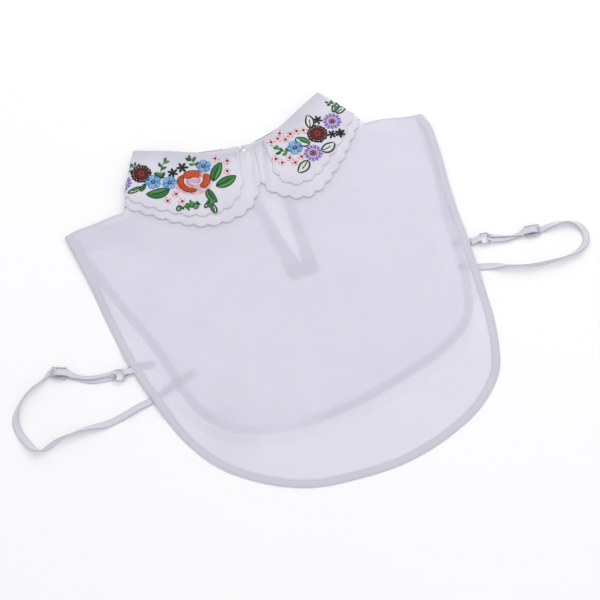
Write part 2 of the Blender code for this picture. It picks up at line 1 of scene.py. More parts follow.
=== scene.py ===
"""Looks of the detachable peter pan collar: a sheer white bib with a two-tier scalloped collar that carries
flowers in coloured thread, a pearl button at the back of the neck and an elastic strap on each side.

Sizes are in millimetres on the garment as it lies, as in the part's source: x to the right, y towards the
neck, z up from the surface. The pieces are made in the order in which the garment is put together.
"""

import math

import bmesh
import bpy
import numpy as np
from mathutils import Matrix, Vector

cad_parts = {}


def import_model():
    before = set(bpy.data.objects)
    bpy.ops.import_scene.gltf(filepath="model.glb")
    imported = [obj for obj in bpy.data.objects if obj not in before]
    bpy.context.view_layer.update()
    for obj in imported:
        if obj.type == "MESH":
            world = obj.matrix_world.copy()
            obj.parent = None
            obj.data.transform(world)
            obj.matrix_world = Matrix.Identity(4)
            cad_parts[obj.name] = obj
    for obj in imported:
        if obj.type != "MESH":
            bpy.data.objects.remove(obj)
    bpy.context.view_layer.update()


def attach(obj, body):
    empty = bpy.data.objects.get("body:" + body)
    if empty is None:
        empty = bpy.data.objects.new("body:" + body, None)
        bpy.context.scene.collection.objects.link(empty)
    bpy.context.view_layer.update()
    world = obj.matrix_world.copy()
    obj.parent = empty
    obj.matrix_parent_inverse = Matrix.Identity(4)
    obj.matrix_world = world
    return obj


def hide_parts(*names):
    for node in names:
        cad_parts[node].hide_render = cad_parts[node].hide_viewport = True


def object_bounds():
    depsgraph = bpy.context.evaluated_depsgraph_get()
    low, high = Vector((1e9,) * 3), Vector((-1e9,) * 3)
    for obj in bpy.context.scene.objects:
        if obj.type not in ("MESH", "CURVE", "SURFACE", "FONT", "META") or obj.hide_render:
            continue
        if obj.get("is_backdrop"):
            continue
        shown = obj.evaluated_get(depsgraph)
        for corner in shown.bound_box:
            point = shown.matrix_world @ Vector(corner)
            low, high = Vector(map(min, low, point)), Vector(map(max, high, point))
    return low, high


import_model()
scene = bpy.context.scene

# Camera, paper and light. The garment is photographed from above its hem and a little from its right,
# with a long lens, on seamless white paper, under a large soft box at the upper right.
MM = 0.001
MIDDLE = (-3.95, 9.28)  # where the frame's origin lies on the garment
ELEVATION = math.radians(63.4)
TURN = math.radians(-21.6)
CAMERA_AWAY = 1.92
SOFT_BOX_AT = (0.95, 1.0, 1.15)  # from the middle, in metres
PAPER_HALF = 4.0
PAPER_DROP = 0.0001
PAPER_CLOUDS = 333.0


def world(points):
    """Garment millimetres to the frame's metres."""
    return (np.asarray(points, float) - (*MIDDLE, 0.0)) * MM


def linear(code):
    """An sRGB hex colour as the linear colour that a shader takes."""
    channels = [int(code[place : place + 2], 16) / 255 for place in (0, 2, 4)]
    return (*[c / 12.92 if c <= 0.04045 else ((c + 0.055) / 1.055) ** 2.4 for c in channels], 1.0)


def add(tree, kind, inputs=(), **settings):
    """Adds a node. An input is a value, or a socket of another node that is linked to it."""
    node = tree.nodes.new(kind)
    for name, value in settings.items():
        setattr(node, name, value)
    for socket, value in dict(inputs).items():
        if isinstance(value, bpy.types.NodeSocket):
            tree.links.new(value, node.inputs[socket])
        else:
            node.inputs[socket].default_value = value
    return node


def finish_of(name, **values):
    """A new material, its node tree and its shader, with the values that are the same all over."""
    material = bpy.data.materials.new(name)
    material.use_nodes = True
    shader = material.node_tree.nodes["Principled BSDF"]
    for socket, value in values.items():
        shader.inputs[socket.replace("_", " ")].default_value = value
    return material, material.node_tree, shader


def clouds(width):
    """The scale of a noise texture whose clouds are about width millimetres across."""
    return 1 / (width * MM)


def aim(thing, spot, target):
    """Puts a camera or lamp at a spot, turned towards its target."""
    thing.location = spot
    thing.rotation_euler = (Vector(target) - Vector(spot)).to_track_quat("-Z", "Y").to_euler()
    scene.collection.objects.link(thing)


centre = Vector(world((0, 0, 0)))
way_back = Vector((
    math.sin(TURN) * math.cos(ELEVATION), -math.cos(TURN) * math.cos(ELEVATION), math.sin(ELEVATION)
))
camera = bpy.data.objects.new("camera", bpy.data.cameras.new("camera"))
camera.data.lens = 120
camera.data.sensor_width = 36
aim(camera, centre + way_back * CAMERA_AWAY, centre)
scene.camera = camera
scene.view_settings.view_transform = "Standard"

scene.world = bpy.data.worlds.new("studio")
scene.world.use_nodes = True
backdrop = scene.world.node_tree.nodes["Background"]
backdrop.inputs["Color"].default_value = linear("fdfdff")
backdrop.inputs["Strength"].default_value = 0.88
key = bpy.data.lights.new("soft_box", "AREA")
key.shape = "RECTANGLE"
key.size = 1.4
key.size_y = 1.1
key.energy = 8.5
key.color = linear("fffdfa")[:3]
aim(bpy.data.objects.new("soft_box", key), centre + Vector(SOFT_BOX_AT), centre)

# matt photographic paper: even, with a tooth far too fine to show, drawn here as faint cloudiness
paper, tree, shader = finish_of("White paper, matt coated", Roughness=0.85)
spots = add(tree, "ShaderNodeTexCoord").outputs["Object"]
cloud = add(tree, "ShaderNodeTexNoise", {"Vector": spots, "Scale": clouds(PAPER_CLOUDS)}).outputs["Fac"]
tones = {"Factor": cloud, 6: linear("fbfbfc"), 7: linear("fefefe")}
tint = add(tree, "ShaderNodeMix", tones, data_type="RGBA")
tree.links.new(tint.outputs[2], shader.inputs["Base Color"])
mesh = bmesh.new()
bmesh.ops.create_grid(mesh, x_segments=1, y_segments=1, size=PAPER_HALF)
bmesh.ops.translate(mesh, vec=(0, 0, -PAPER_DROP), verts=mesh.verts)
floor = bpy.data.objects.new("paper", bpy.data.meshes.new("paper"))
mesh.to_mesh(floor.data)
mesh.free()
floor.data.materials.append(paper)
scene.collection.objects.link(floor)
floor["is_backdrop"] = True

# Back of the bib: one piece of sheer white chiffon, shorter than the front, open at the centre back.
# It lies on the back of the collar and comes down to the paper outside it. Its hem is turned twice.
SIDES = ("left", "right")
HALF_WALL = 0.5  # the visible cloth is the middle of the solid's 1 mm wall
COLLAR_LIFT = 2.6
COLLAR_RAMP = (12.0, 44.0)
SHOULDER = {
    "left": [(-187.5, 146.2), (-171, 148.8), (-155, 148.8), (-139, 148.8), (-125.6, 148.2)],
    "right": [(190, 147.6), (173.4, 150), (161.6, 153.1), (145.5, 155.6), (130, 155.8)],
}
BACK_SIDE = {
    "left": [(-187.5, 146.2), (-178, 104), (-166, 58), (-153, 15), (-146, -15), (-141, -48), (-128, -83)],
    "right": [(190, 147.6), (189, 130), (184, 90), (173.5, 40), (167, 0), (160.5, -40), (144, -79)],
}
BACK_BOTTOM = [
    (-128, -83), (-107, -105), (-72, -120), (-30, -125), (18, -122), (65, -113), (108, -101), (144, -79)
]
NECK_FOLD = {
    "left": [(13, 170.5), (-1, 171.5), (-20, 178), (-41, 187), (-64, 197.8), (-91.5, 209)],
    "right": [(14.4, 170.5), (28, 174.5), (46, 181), (64, 189), (80, 197), (99.2, 205.6)],
}
SHOULDER_FOLD_END = {"left": (-121.2, 154.3), "right": (127.4, 163)}
CENTRE_BACK = {"left": 5.4, "right": 8.6}
BACK_PARTING = {"left": -5.0, "right": 8.0}  # the leaves' lower corners stand apart over the slit
BACK_NECK = {
    "left": [(5.4, 180.7), (-7, 182.4), (-19.3, 184.8), (-33.2, 188.2), (-46.1, 192), (-64, 199),
             (-91.5, 209)],
    "right": [(8.6, 180.3), (17.4, 179.4), (26.4, 180.4), (36.8, 182.5), (49.2, 185.6), (64, 191),
              (80, 197.6), (99.2, 205.6)],
}
UNDER_EDGE = {
    "left": [(11.2, 140.2), (2.8, 123.6), (-11, 109.5), (-35, 104), (-58, 108), (-83, 122.5), (-103, 139)],
    "right": [(12.6, 140.2), (15.8, 122.8), (28, 110), (45, 101.5), (62, 104), (80, 116), (100, 133),
              (114, 148)],
}
SLIT = [
    (186, 7, 1.2), (168, 8.5, 2.5), (150, 10.5, 7.0), (125, 12.5, 9.6), (104, 13.5, 9.3), (85, 14.5, 7.6),
    (65, 15.3, 5.4), (48, 15.2, 3.1), (35, 14.5, 0.5),
]  # y, middle x, half width
SLIT_TOP = 158
SLIT_CATCH = 3.2  # how far from the slit's line a raw point of the cut is drawn onto it
SHOULDER_STATIONS = np.linspace(0, 1, 20)
FOLD_COLUMNS = 4
NECK_COLUMNS = 26
ROW_STATIONS = np.linspace(0, 1, 118)
STAND_HEIGHT = 13.0
SEAM_GAP = 0.6
BACK_CREASES = [
    ([(-120, 128), (-96, 96), (-84, 60)], 9, 0.35), ([(60, 96), (74, 60), (80, 20)], 11, 0.3),
    ([(-60, -60), (-20, -84), (28, -92)], 10, 0.3), ([(112, 60), (124, 18)], 8, -0.25),
    ([(-118, 0), (-104, -40), (-96, -78)], 9, -0.2), ([(-30, 60), (-38, 10), (-30, -30)], 13, 0.25),
]  # line that the crease follows, half width, rise above 0 or trough below 0
BACK_DEEPEST = -0.25
WAVE_RADIANS = 20  # a wave texture of scale 1 has this many radians in a metre


def unit(vectors):
    return vectors / np.linalg.norm(vectors, axis=-1, keepdims=True)


def square_to(line):
    """The way across a line at each of its points."""
    along = unit(np.gradient(line, axis=0))
    return np.column_stack([-along[:, 1], along[:, 0]])


def at_length(line, stations):
    """Points on a line of points, at shares of its length from 0 to 1."""
    line = np.array(line, float)
    length = np.concatenate([[0], np.cumsum(np.linalg.norm(np.diff(line[:, :2], axis=0), axis=1))])
    return np.stack([np.interp(np.array(stations) * length[-1], length, column) for column in line.T], axis=1)


def curve(points, fineness=12, measure=2):
    """A fine line on a smooth curve through points. The first columns, as many as measure, space it."""
    points = np.array(points, float)
    at = np.concatenate([[0], np.cumsum(np.linalg.norm(np.diff(points[:, :measure], axis=0), axis=1))])
    slope = np.gradient(points, at, axis=0)
    fine = np.linspace(0, at[-1], fineness * len(points) + 1)
    span = np.clip(np.searchsorted(at, fine, side="right") - 1, 0, len(at) - 2)
    width = (at[span + 1] - at[span])[:, None]
    t = (fine - at[span])[:, None] / width
    return (
        points[span] * (2 * t**3 - 3 * t**2 + 1)
        + slope[span] * width * (t**3 - 2 * t**2 + t)
        + points[span + 1] * (3 * t**2 - 2 * t**3)
        + slope[span + 1] * width * (t**3 - t**2)
    )


def length_of(line):
    return np.linalg.norm(np.diff(line[:, :2], axis=0), axis=1).sum()


def smooth_step(limits, value):
    share = np.clip((np.asarray(value, float) - limits[0]) / (limits[1] - limits[0]), 0, 1)
    return share * share * (3 - 2 * share)


def nearest(points, line):
    """How far each point is from a line of points, and how far along it the nearest place is, 0 to 1."""
    starts, steps = line[:-1], np.diff(line, axis=0)
    squares = np.maximum((steps**2).sum(1), 1e-9)
    share = np.clip(((points[:, None] - starts) * steps).sum(2) / squares, 0, 1)
    away = np.linalg.norm(points[:, None] - starts - share[..., None] * steps, axis=2)
    closest = away.argmin(1)
    row = np.arange(len(points))
    return away[row, closest], (closest + share[row, closest]) / len(starts)


def outside(points, outline):
    """How far each point is outside a closed outline: negative inside it."""
    x, y = points[:, 0, None], points[:, 1, None]
    ends = np.roll(outline, -1, axis=0)
    rise = np.where(ends[:, 1] == outline[:, 1], 1e-9, ends[:, 1] - outline[:, 1])
    crossed = (outline[:, 1] > y) != (ends[:, 1] > y)
    within = (crossed & (x < outline[:, 0] + (ends - outline)[:, 0] / rise * (y - outline[:, 1]))).sum(1) % 2
    away, _ = nearest(points, np.vstack([outline, outline[:1]]))
    return np.where(within == 1, -away, away)


def creased(points, table):
    """Height that soft troughs and ridges add, each fading out towards both its ends."""
    height = np.zeros(len(points))
    for line, half_width, rise in table:
        away, share = nearest(points, curve(line, 4))
        height += rise * np.exp(-((away / half_width) ** 2)) * (1 - np.abs(2 * share - 1) ** 3)
    return height


def neck_line(side, back=False, setback=0.0):
    """The collar's fold round the neck, from the centre to the shoulder fold: one curve a side and face."""
    line = curve((BACK_NECK if back else NECK_FOLD)[side])
    return line[np.abs(line[:, 0] - line[0, 0]) >= setback]


def edge_line(side, edge, fold_share=1.0, back=False):
    """The smooth line of a leaf's outer edge, from the centre to the shoulder fold."""
    corner = np.array(NECK_FOLD[side][-1])
    end = corner + (np.array(SHOULDER_FOLD_END[side]) - corner) * fold_share
    line = curve([*edge[side], tuple(end)])
    if back:
        start, middle = NECK_FOLD[side][0][0], CENTRE_BACK[side] + BACK_PARTING[side]
        line[:, 0] = middle + (line[:, 0] - start) * (end[0] - middle) / (end[0] - start)
    return line


def fold_out(side):
    """The way out of a shoulder fold, square to it."""
    along = unit(np.array(NECK_FOLD[side][-1]) - np.array(SHOULDER_FOLD_END[side]))
    square = np.array([-along[1], along[0]])
    return square if side == "left" else -square


def neck_seam(side, columns=NECK_COLUMNS):
    """The seam that joins the neck band to both panels, and the fold above it."""
    stations = np.linspace(0, 1, columns + 1)
    top = at_length(neck_line(side), stations)
    bottom = at_length(edge_line(side, UNDER_EDGE), stations)
    return top + unit(bottom - top) * STAND_HEIGHT, top


def top_of_panel():
    """Points along a panel's upper edge: shoulder, shoulder fold, neck, shoulder fold, shoulder."""
    halves = []
    for side in SIDES:
        seam, fold = neck_seam(side)
        seam = seam - unit(fold - seam) * SEAM_GAP
        seam[-1] = seam[-1] - fold_out(side)
        fold = at_length([SHOULDER[side][-1], seam[-1]], np.linspace(0, 1, FOLD_COLUMNS + 1))
        shoulder = at_length(curve(SHOULDER[side]), SHOULDER_STATIONS)
        half = np.vstack([shoulder, fold[1:-1], seam[::-1]])
        halves.append(half if side == "left" else half[::-1])
    return np.vstack([halves[0], halves[1][1:]])


def free_edge(sides, bottom):
    """A panel's free edge as one smooth line, parted at its corners: left side, bottom, right side."""
    whole = curve([*sides["left"], *bottom[1:-1], *sides["right"][::-1]])
    left, right = (np.linalg.norm(whole - sides[side][-1], axis=1).argmin() for side in SIDES)
    return whole[: left + 1], whole[left : right + 1], whole[right:][::-1]


def patch(top, sides, bottom):
    """A grid of points [column, row] stretched between four edges."""
    across = np.concatenate([[0], np.cumsum(np.linalg.norm(np.diff(top, axis=0), axis=1))])
    s = (across / across[-1])[:, None, None]
    t = ROW_STATIONS[None, :, None]
    left, low, right = free_edge(sides, bottom)
    left, right = at_length(left, ROW_STATIONS)[None], at_length(right, ROW_STATIONS)[None]
    low = at_length(low, s.ravel())[:, None]
    corners = (1 - s) * ((1 - t) * top[0] + t * low[0]) + s * ((1 - t) * top[-1] + t * low[-1])
    return (1 - t) * top[:, None] + t * low + (1 - s) * left + s * right - corners


COLLAR_OUTLINE = np.vstack([
    edge_line("left", UNDER_EDGE)[::-1], edge_line("right", UNDER_EDGE),
    neck_line("right")[::-1], neck_line("left"),
])
back_left, back_low, back_right = free_edge(BACK_SIDE, BACK_BOTTOM)
BACK_OUTLINE = np.vstack([back_left, back_low[1:], back_right[::-1][1:], top_of_panel()[::-1][1:-1]])


def back_height(points):
    """Underside of the back panel above the paper."""
    return COLLAR_LIFT * (1 - smooth_step(COLLAR_RAMP, outside(points, COLLAR_OUTLINE)))


def cloth_mesh():
    """A bmesh whose points carry a shade (painted shade and light on most pieces), their place in the weave
    and the colour of their thread.
    """
    mesh = bmesh.new()
    mesh.verts.layers.float.new("shade")
    mesh.verts.layers.float_vector.new("weave")
    mesh.verts.layers.float_color.new("thread")
    return mesh


def lay(mesh, points, shade=None, weave=None, thread=None):
    """Lays a grid into a bmesh: its point (column, row) lies at points[column, row]."""
    columns, rows = points.shape[:2]
    spots = world(points)
    made = bmesh.ops.create_grid(mesh, x_segments=columns - 1, y_segments=rows - 1, size=0.5)["verts"]
    marks = [
        (mesh.verts.layers.float["shade"], shade),
        (mesh.verts.layers.float_vector["weave"], weave),
        (mesh.verts.layers.float_color["thread"], thread),
    ]
    marks = [(layer, values) for layer, values in marks if values is not None]
    for point in made:
        at = round((point.co.x + 0.5) * (columns - 1)), round((point.co.y + 0.5) * (rows - 1))
        point.co = spots[at]
        for layer, values in marks:
            point[layer] = values[at]
    return made


def settle(name, mesh, material, slot, *nodes, wall=0.0):
    """Finishes a piece: its mesh, material and thickness, the body it rides on and the solids it replaces."""
    mesh.normal_update()
    data = bpy.data.meshes.new(name)
    mesh.to_mesh(data)
    mesh.free()
    data.shade_smooth()
    data.materials.append(material)
    piece = bpy.data.objects.new(name, data)
    scene.collection.objects.link(piece)
    if wall:
        solid = piece.modifiers.new("wall", "SOLIDIFY")
        solid.thickness = wall * MM
        solid.offset = 0.0
    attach(piece, "root")
    if nodes:
        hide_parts(*nodes)
    return piece


def waves(pitch):
    """The scale of a wave texture whose bands lie pitch millimetres apart."""
    return 2 * math.pi / (WAVE_RADIANS * pitch * MM)


def woven(name, light, deep, cloth, alpha=1.0):
    """Plain-woven cloth: crossing bands of yarn, faintly uneven, and deeper where its points have a shade,
    which on most pieces is painted shade and light.
    """
    material, tree, shader = finish_of(name, Alpha=alpha, **cloth["shader"])
    spots = add(tree, "ShaderNodeTexCoord").outputs["Object"]
    turned = add(tree, "ShaderNodeMapping", {"Vector": spots, "Rotation": (0, 0, cloth["turn"])}).outputs[0]
    yarns = {
        "Vector": turned, "Scale": waves(cloth["pitch"]), "Distortion": cloth["waver"], "Detail Scale": 0.4,
    }
    warp, weft = (add(tree, "ShaderNodeTexWave", yarns, bands_direction=way).outputs["Fac"] for way in "XY")
    weave = add(tree, "ShaderNodeMath", {0: warp, 1: weft}, operation="MULTIPLY").outputs[0]
    clumps = {"Vector": spots, "Scale": clouds(cloth["cloud"]), "Detail": 3.0}
    cloud = add(tree, "ShaderNodeTexNoise", clumps).outputs["Fac"]
    tone = add(tree, "ShaderNodeAttribute", attribute_name="shade").outputs["Fac"]
    for source, depth in ((weave, cloth["yarn_tone"]), (cloud, cloth["cloud_tone"])):
        terms = {0: source, 1: depth, 2: tone}
        tone = add(tree, "ShaderNodeMath", terms, operation="MULTIPLY_ADD").outputs[0]
    tone = add(tree, "ShaderNodeMath", {0: tone, 1: cloth["even"]}, operation="SUBTRACT", use_clamp=True)
    tones = {"Factor": tone.outputs[0], 6: linear(light), 7: linear(deep)}
    tint = add(tree, "ShaderNodeMix", tones, data_type="RGBA")
    tree.links.new(tint.outputs[2], shader.inputs["Base Color"])
    bump = add(tree, "ShaderNodeBump", {"Height": weave, "Strength": cloth["relief"], "Distance": 0.0002})
    tree.links.new(bump.outputs["Normal"], shader.inputs["Normal"])
    return material


def flat_shade(points, value=0.0):
    return np.full(points.shape[:2], value)


# polyester chiffon, plain woven of hard-twisted yarn: matt, faintly uneven, and it lets light through. Real
# yarns lie 0.25 mm apart; the weave is drawn at 1.15 mm, because finer doesn't show
CHIFFON = {
    "shader": {"Roughness": 0.78, "Sheen_Weight": 0.12, "Specular_IOR_Level": 0.25},
    "pitch": 1.15, "turn": 0.03, "waver": 0.6, "yarn_tone": 0.10, "cloud": 38.5, "cloud_tone": 0.22,
    "even": 0.14, "relief": 0.12,
}
back_chiffon = woven("White polyester chiffon, under layer", "f3f2f9", "dcdae6", CHIFFON, 0.6)
flat = patch(top_of_panel(), BACK_SIDE, BACK_BOTTOM)
points = flat.reshape(-1, 2)
height = back_height(points) + HALF_WALL + np.maximum(creased(points, BACK_CREASES), BACK_DEEPEST)
mesh = cloth_mesh()
lay(mesh, np.dstack([flat, height.reshape(flat.shape[:2])]), shade=flat_shade(flat))
slit_rows = np.array(SLIT)
slit_left = curve(np.column_stack([slit_rows[:, 1] - slit_rows[:, 2], slit_rows[:, 0]]))
slit_right = curve(np.column_stack([slit_rows[:, 1] + slit_rows[:, 2], slit_rows[:, 0]]))
SLIT_OUTLINE = np.vstack([slit_left, slit_right[::-1]])
middles = np.array([face.calc_center_median()[:2] for face in mesh.faces]) / MM + MIDDLE
open_faces = [face for face, gap in zip(mesh.faces[:], outside(middles, SLIT_OUTLINE)) if gap < 0]
bmesh.ops.delete(mesh, geom=open_faces, context="FACES")
for point in mesh.verts:
    if not point.is_boundary:
        continue
    here = np.array(point.co[:2]) / MM + MIDDLE
    gaps = np.linalg.norm(SLIT_OUTLINE - here, axis=1)
    if gaps.min() < SLIT_CATCH and here[1] < SLIT_TOP:
        target = world((*SLIT_OUTLINE[gaps.argmin()], 0.0))
        point.co.x, point.co.y = target[0], target[1]
back_cloth = settle("back_chiffon", mesh, back_chiffon, "chiffon", "back_panel")

HEM_STEP = 3.0
HEM_SECTION = [
    (0.15, -0.7), (-0.25, -0.35), (-0.3, 0.05), (0.1, 0.3), (1.0, 0.38), (1.8, 0.33), (2.8, 0.38),
    (4.2, 0.38), (5.4, 0.38), (6.2, 0.33), (7.0, 0.36), (7.6, 0.26), (7.85, 0.03),
]  # how far in from the edge, and how high above the cloth's own level
HEM_SEAMS = (1.8, 6.2)  # how far in its two rows of stitches run
SEAM_PAINTED_SHADE = (0.1, 0.8)  # painted shade in the groove of a row of stitches: how much deeper a hem looks there, and how far to its sides
# painted shade along a hem's rounded fold: how much deeper, and how far in
RIM_PAINTED_SHADE = (0.2, 0.6)
RIM_OUT = 0.2
STITCH_PITCH = 3.0
STITCH_LENGTH = 2.2
STITCH_WIDTH = 0.45
STITCH_LIFT = 0.25
STITCH_ABOVE = 0.3
STITCH_DIP = -0.12
TWIST_PITCH = 0.75
BACK_HEM_TONE = (0.12, 0.56)  # the hem's tone all over, and painted shade where it shows through the front
HEM_SHOWS_UP = (-100, -80)
HEM_SHOWS_ACROSS = (-70, -10)
HEM_SHOWS_LEAST = 0.25


def hem_lines(sides, bottom):
    """A panel's free edge as points from shoulder to shoulder, and the way in at each."""
    left, low, right = free_edge(sides, bottom)
    line = np.vstack([left, low[1:], right[::-1][1:]])
    line = at_length(line, np.linspace(0, 1, round(length_of(line) / HEM_STEP)))
    tangent = np.gradient(line, axis=0)
    for _ in range(3):
        tangent[1:-1] = (tangent[:-2] + tangent[1:-1] + tangent[2:]) / 3
    tangent = unit(tangent)
    return line, np.column_stack([-tangent[:, 1], tangent[:, 0]])


def hem(name, line, way_in, level, material, depth_of_tone):
    """A hem that is turned twice, with a rounded fold outside and a stitched edge inside, and painted shade
    along the fold and the rows of stitches.
    """
    section = np.array(HEM_SECTION)
    flat = line[:, None] + way_in[:, None] * section[None, :, :1]
    height = level(flat.reshape(-1, 2)).reshape(flat.shape[:2]) + HALF_WALL + section[None, :, 1]
    dips = sum(np.exp(-(((section[:, 0] - seam) / SEAM_PAINTED_SHADE[1]) ** 2)) for seam in HEM_SEAMS)
    rims = np.exp(-(((section[:, 0] + RIM_OUT) / RIM_PAINTED_SHADE[1]) ** 2))
    shade = np.reshape(depth_of_tone, (-1, 1)) + (SEAM_PAINTED_SHADE[0] * dips + RIM_PAINTED_SHADE[0] * rims)[None, :]
    shade = np.broadcast_to(shade, flat.shape[:2])
    mesh = cloth_mesh()
    lay(mesh, np.dstack([flat, height]), shade=shade)
    return settle(name, mesh, material, "chiffon")


def stitch_row(mesh, line, level):
    """A row of stitches along a line of points: each dips into the cloth at both its ends."""
    count = round(length_of(line) / STITCH_PITCH)
    for number in range(count):
        start = number / count
        middle = at_length(line, start + np.linspace(0, 1, 4) * STITCH_LENGTH / STITCH_PITCH / count)
        along = unit(middle[-1] - middle[0])
        across = np.array([-along[1], along[0]])
        flat = middle[:, None] + across * np.array([-1, 0, 1])[None, :, None] * STITCH_WIDTH / 2
        arch = np.array([STITCH_DIP, 1, 1, STITCH_DIP])[:, None] * np.array([0.0, 1, 0.0])[None] * STITCH_LIFT
        height = level(flat.reshape(-1, 2)).reshape(flat.shape[:2]) + HALF_WALL + STITCH_ABOVE
        lay(mesh, np.dstack([flat, height + arch]))


def hem_shade_share(points):
    """How much of the back's hem shows through the front, and so how much painted shade it gives: nearly lost
    at the lower left, 0 to 1.
    """
    shown = smooth_step(HEM_SHOWS_UP, points[:, 1]) + smooth_step(HEM_SHOWS_ACROSS, points[:, 0])
    return np.clip(shown, HEM_SHOWS_LEAST, 1)


# the back's hem and the slit's facing are deeper than the cloth, so that they show through the front: partly
# their extra layers, partly painted shade
under_hem_chiffon = woven("White polyester chiffon, hem of the back", "eeedf5", "9f9dab", CHIFFON, 0.93)
back_edge, back_in = hem_lines(BACK_SIDE, BACK_BOTTOM)
hem_tone = BACK_HEM_TONE[0] + BACK_HEM_TONE[1] * hem_shade_share(back_edge)
back_hem = hem("back_hem", back_edge, back_in, back_height, under_hem_chiffon, hem_tone)

# spun polyester sewing thread, twisted: a soft lustre, with the twist drawn as fine bands
thread_finish, tree, shader = finish_of(
    "White sewing thread, spun polyester", Roughness=0.5, Sheen_Weight=0.2
)
spots = add(tree, "ShaderNodeTexCoord").outputs["Object"]
bands = {"Vector": spots, "Scale": waves(TWIST_PITCH), "Distortion": 1.0}
twist = add(tree, "ShaderNodeTexWave", bands, bands_direction="DIAGONAL").outputs["Fac"]
tones = {"Factor": twist, 6: linear("c3c1cd"), 7: linear("d6d4df")}
tint = add(tree, "ShaderNodeMix", tones, data_type="RGBA")
tree.links.new(tint.outputs[2], shader.inputs["Base Color"])
mesh = cloth_mesh()
stitch_row(mesh, back_edge + back_in * HEM_SEAMS[1], back_height)
back_stitches = settle("back_hem_stitches", mesh, thread_finish, "chiffon")

# Facing of the slit: a U of the same chiffon that binds both edges of the opening and closes below it.
# Through the front it shows as a darker band on each side of the slit.
FACING_OUT = [(150, 11, 20.5), (128, 12, 19.6), (106, 13, 18.6), (86, 13.8, 17.4), (66, 14.4, 16.4),
              (46, 14.6, 15.4), (34, 14.4, 15.1), (25, 14.2, 15.0), (23.4, 14.2, 14.4)]
FACING_FOOT = (14.2, 22.2)
FACING_TOP = 150
FACING_STEPS = 90
FACING_LEVEL = 1.6 + HALF_WALL
FACING_SECTION = [
    (-0.02, -0.5), (0.0, -0.1), (0.03, 0.1), (0.1, 0.0), (0.3, 0.0), (0.5, 0.05), (0.7, 0.0), (0.9, 0.1),
    (0.97, 0.05), (1.0, -0.45),
]  # share of the way from the slit to the outer edge, and how high above the facing's own level
FACING_TONE = (0.6, 0.2)  # partly the doubled cloth, partly painted shade: all over, and more along both edges

rows = np.array(FACING_OUT)
outer = curve(np.vstack([
    np.column_stack([rows[:, 1] - rows[:, 2], rows[:, 0]]),
    [FACING_FOOT],
    np.column_stack([rows[:, 1] + rows[:, 2], rows[:, 0]])[::-1],
]), 8)
inner = SLIT_OUTLINE[SLIT_OUTLINE[:, 1] <= FACING_TOP]
stations = np.linspace(0, 1, FACING_STEPS)
outer, inner = at_length(outer, stations), at_length(inner, stations)
share, rise = np.array(FACING_SECTION).T
flat = inner[:, None] + (outer - inner)[:, None] * share[None, :, None]
height = back_height(flat.reshape(-1, 2)).reshape(flat.shape[:2]) + FACING_LEVEL + rise[None]
shade = FACING_TONE[0] + FACING_TONE[1] * np.abs(share * 2 - 1) ** 3
mesh = cloth_mesh()
lay(mesh, np.dstack([flat, height]), shade=np.broadcast_to(shade, height.shape))
facing = settle("slit_facing_chiffon", mesh, under_hem_chiffon, "chiffon", "slit_facing")

# Front of the bib: one piece of chiffon, cut deeper than the back, with the same hem. It is joined to the
# back at both shoulders, and lies over it with the creases that it got when it was laid out.
FRONT_LIFT = 3.2
FRONT_SETTLES = 1.4  # how much closer it lies to the back away from the collar and the facing
BACK_RAMP = (3.0, 13.0)
STRAP_LIFT = (1.6, 0.8)
STRAP_ZONE = (14.0, 32.0)
FRONT_SIDE = {
    "left": [(-187.5, 146.2), (-183.3, 104), (-180, 40), (-175, -8), (-166.5, -50), (-153.5, -97),
             (-134, -132)],
    "right": [(190, 147.6), (193, 137), (191.3, 110), (183, 60), (176, 0), (171, -45), (164.2, -91),
              (157.2, -116), (148.6, -136.5)],
}
FRONT_BOTTOM = [
    (-134, -132), (-101, -162), (-60, -183), (-18, -190.5), (30, -192), (78, -182.5), (121, -163.3),
    (148.6, -136.5),
]
STRAP_ROUTE = {
    "left": [(-124, -36, 0), (-142, -40, 0), (-154, -44, 0), (-166, -47, 0), (-180, -49, 10), (-195, -52, 8),
             (-207, -54, 0), (-216, -54.5, 8), (-227, -53, 30), (-239, -52, 52), (-250, -52.5, 67),
             (-262, -54, 94), (-272, -57.5, 108), (-280, -58.5, 76), (-286, -53, 36), (-290, -44, 12),
             (-293, -33, 0), (-293, -22, -14), (-288, -11, -50), (-280, -2, -68), (-268, 5, -74),
             (-256, 9.5, -62)],
    "right": [(157.5, -25, 0), (163, -27, 0), (175, -31, 0), (188, -35.5, -8), (200, -40, -56),
              (211, -45, -69), (224, -49.5, -84), (240, -52, -86), (256, -52.5, -67), (270, -51, -46),
              (281, -45, -24), (285.5, -35, 0), (283.5, -25, 24), (275, -18, 57), (264, -15.5, 42),
              (255, -15.3, 30)],
}  # x, y and roll in degrees
TAB_ROUTE = {
    "left": [(-154.5, -12.6), (-160, -11.3), (-165, -10), (-169.5, -8.9)],
    "right": [(162.5, 0.2), (167, -0.3), (172, -1.1), (176.5, -1.8)],
}
SEWN_ENDS = [np.array(route[side], float)[:4, :2] for route in (STRAP_ROUTE, TAB_ROUTE) for side in SIDES]
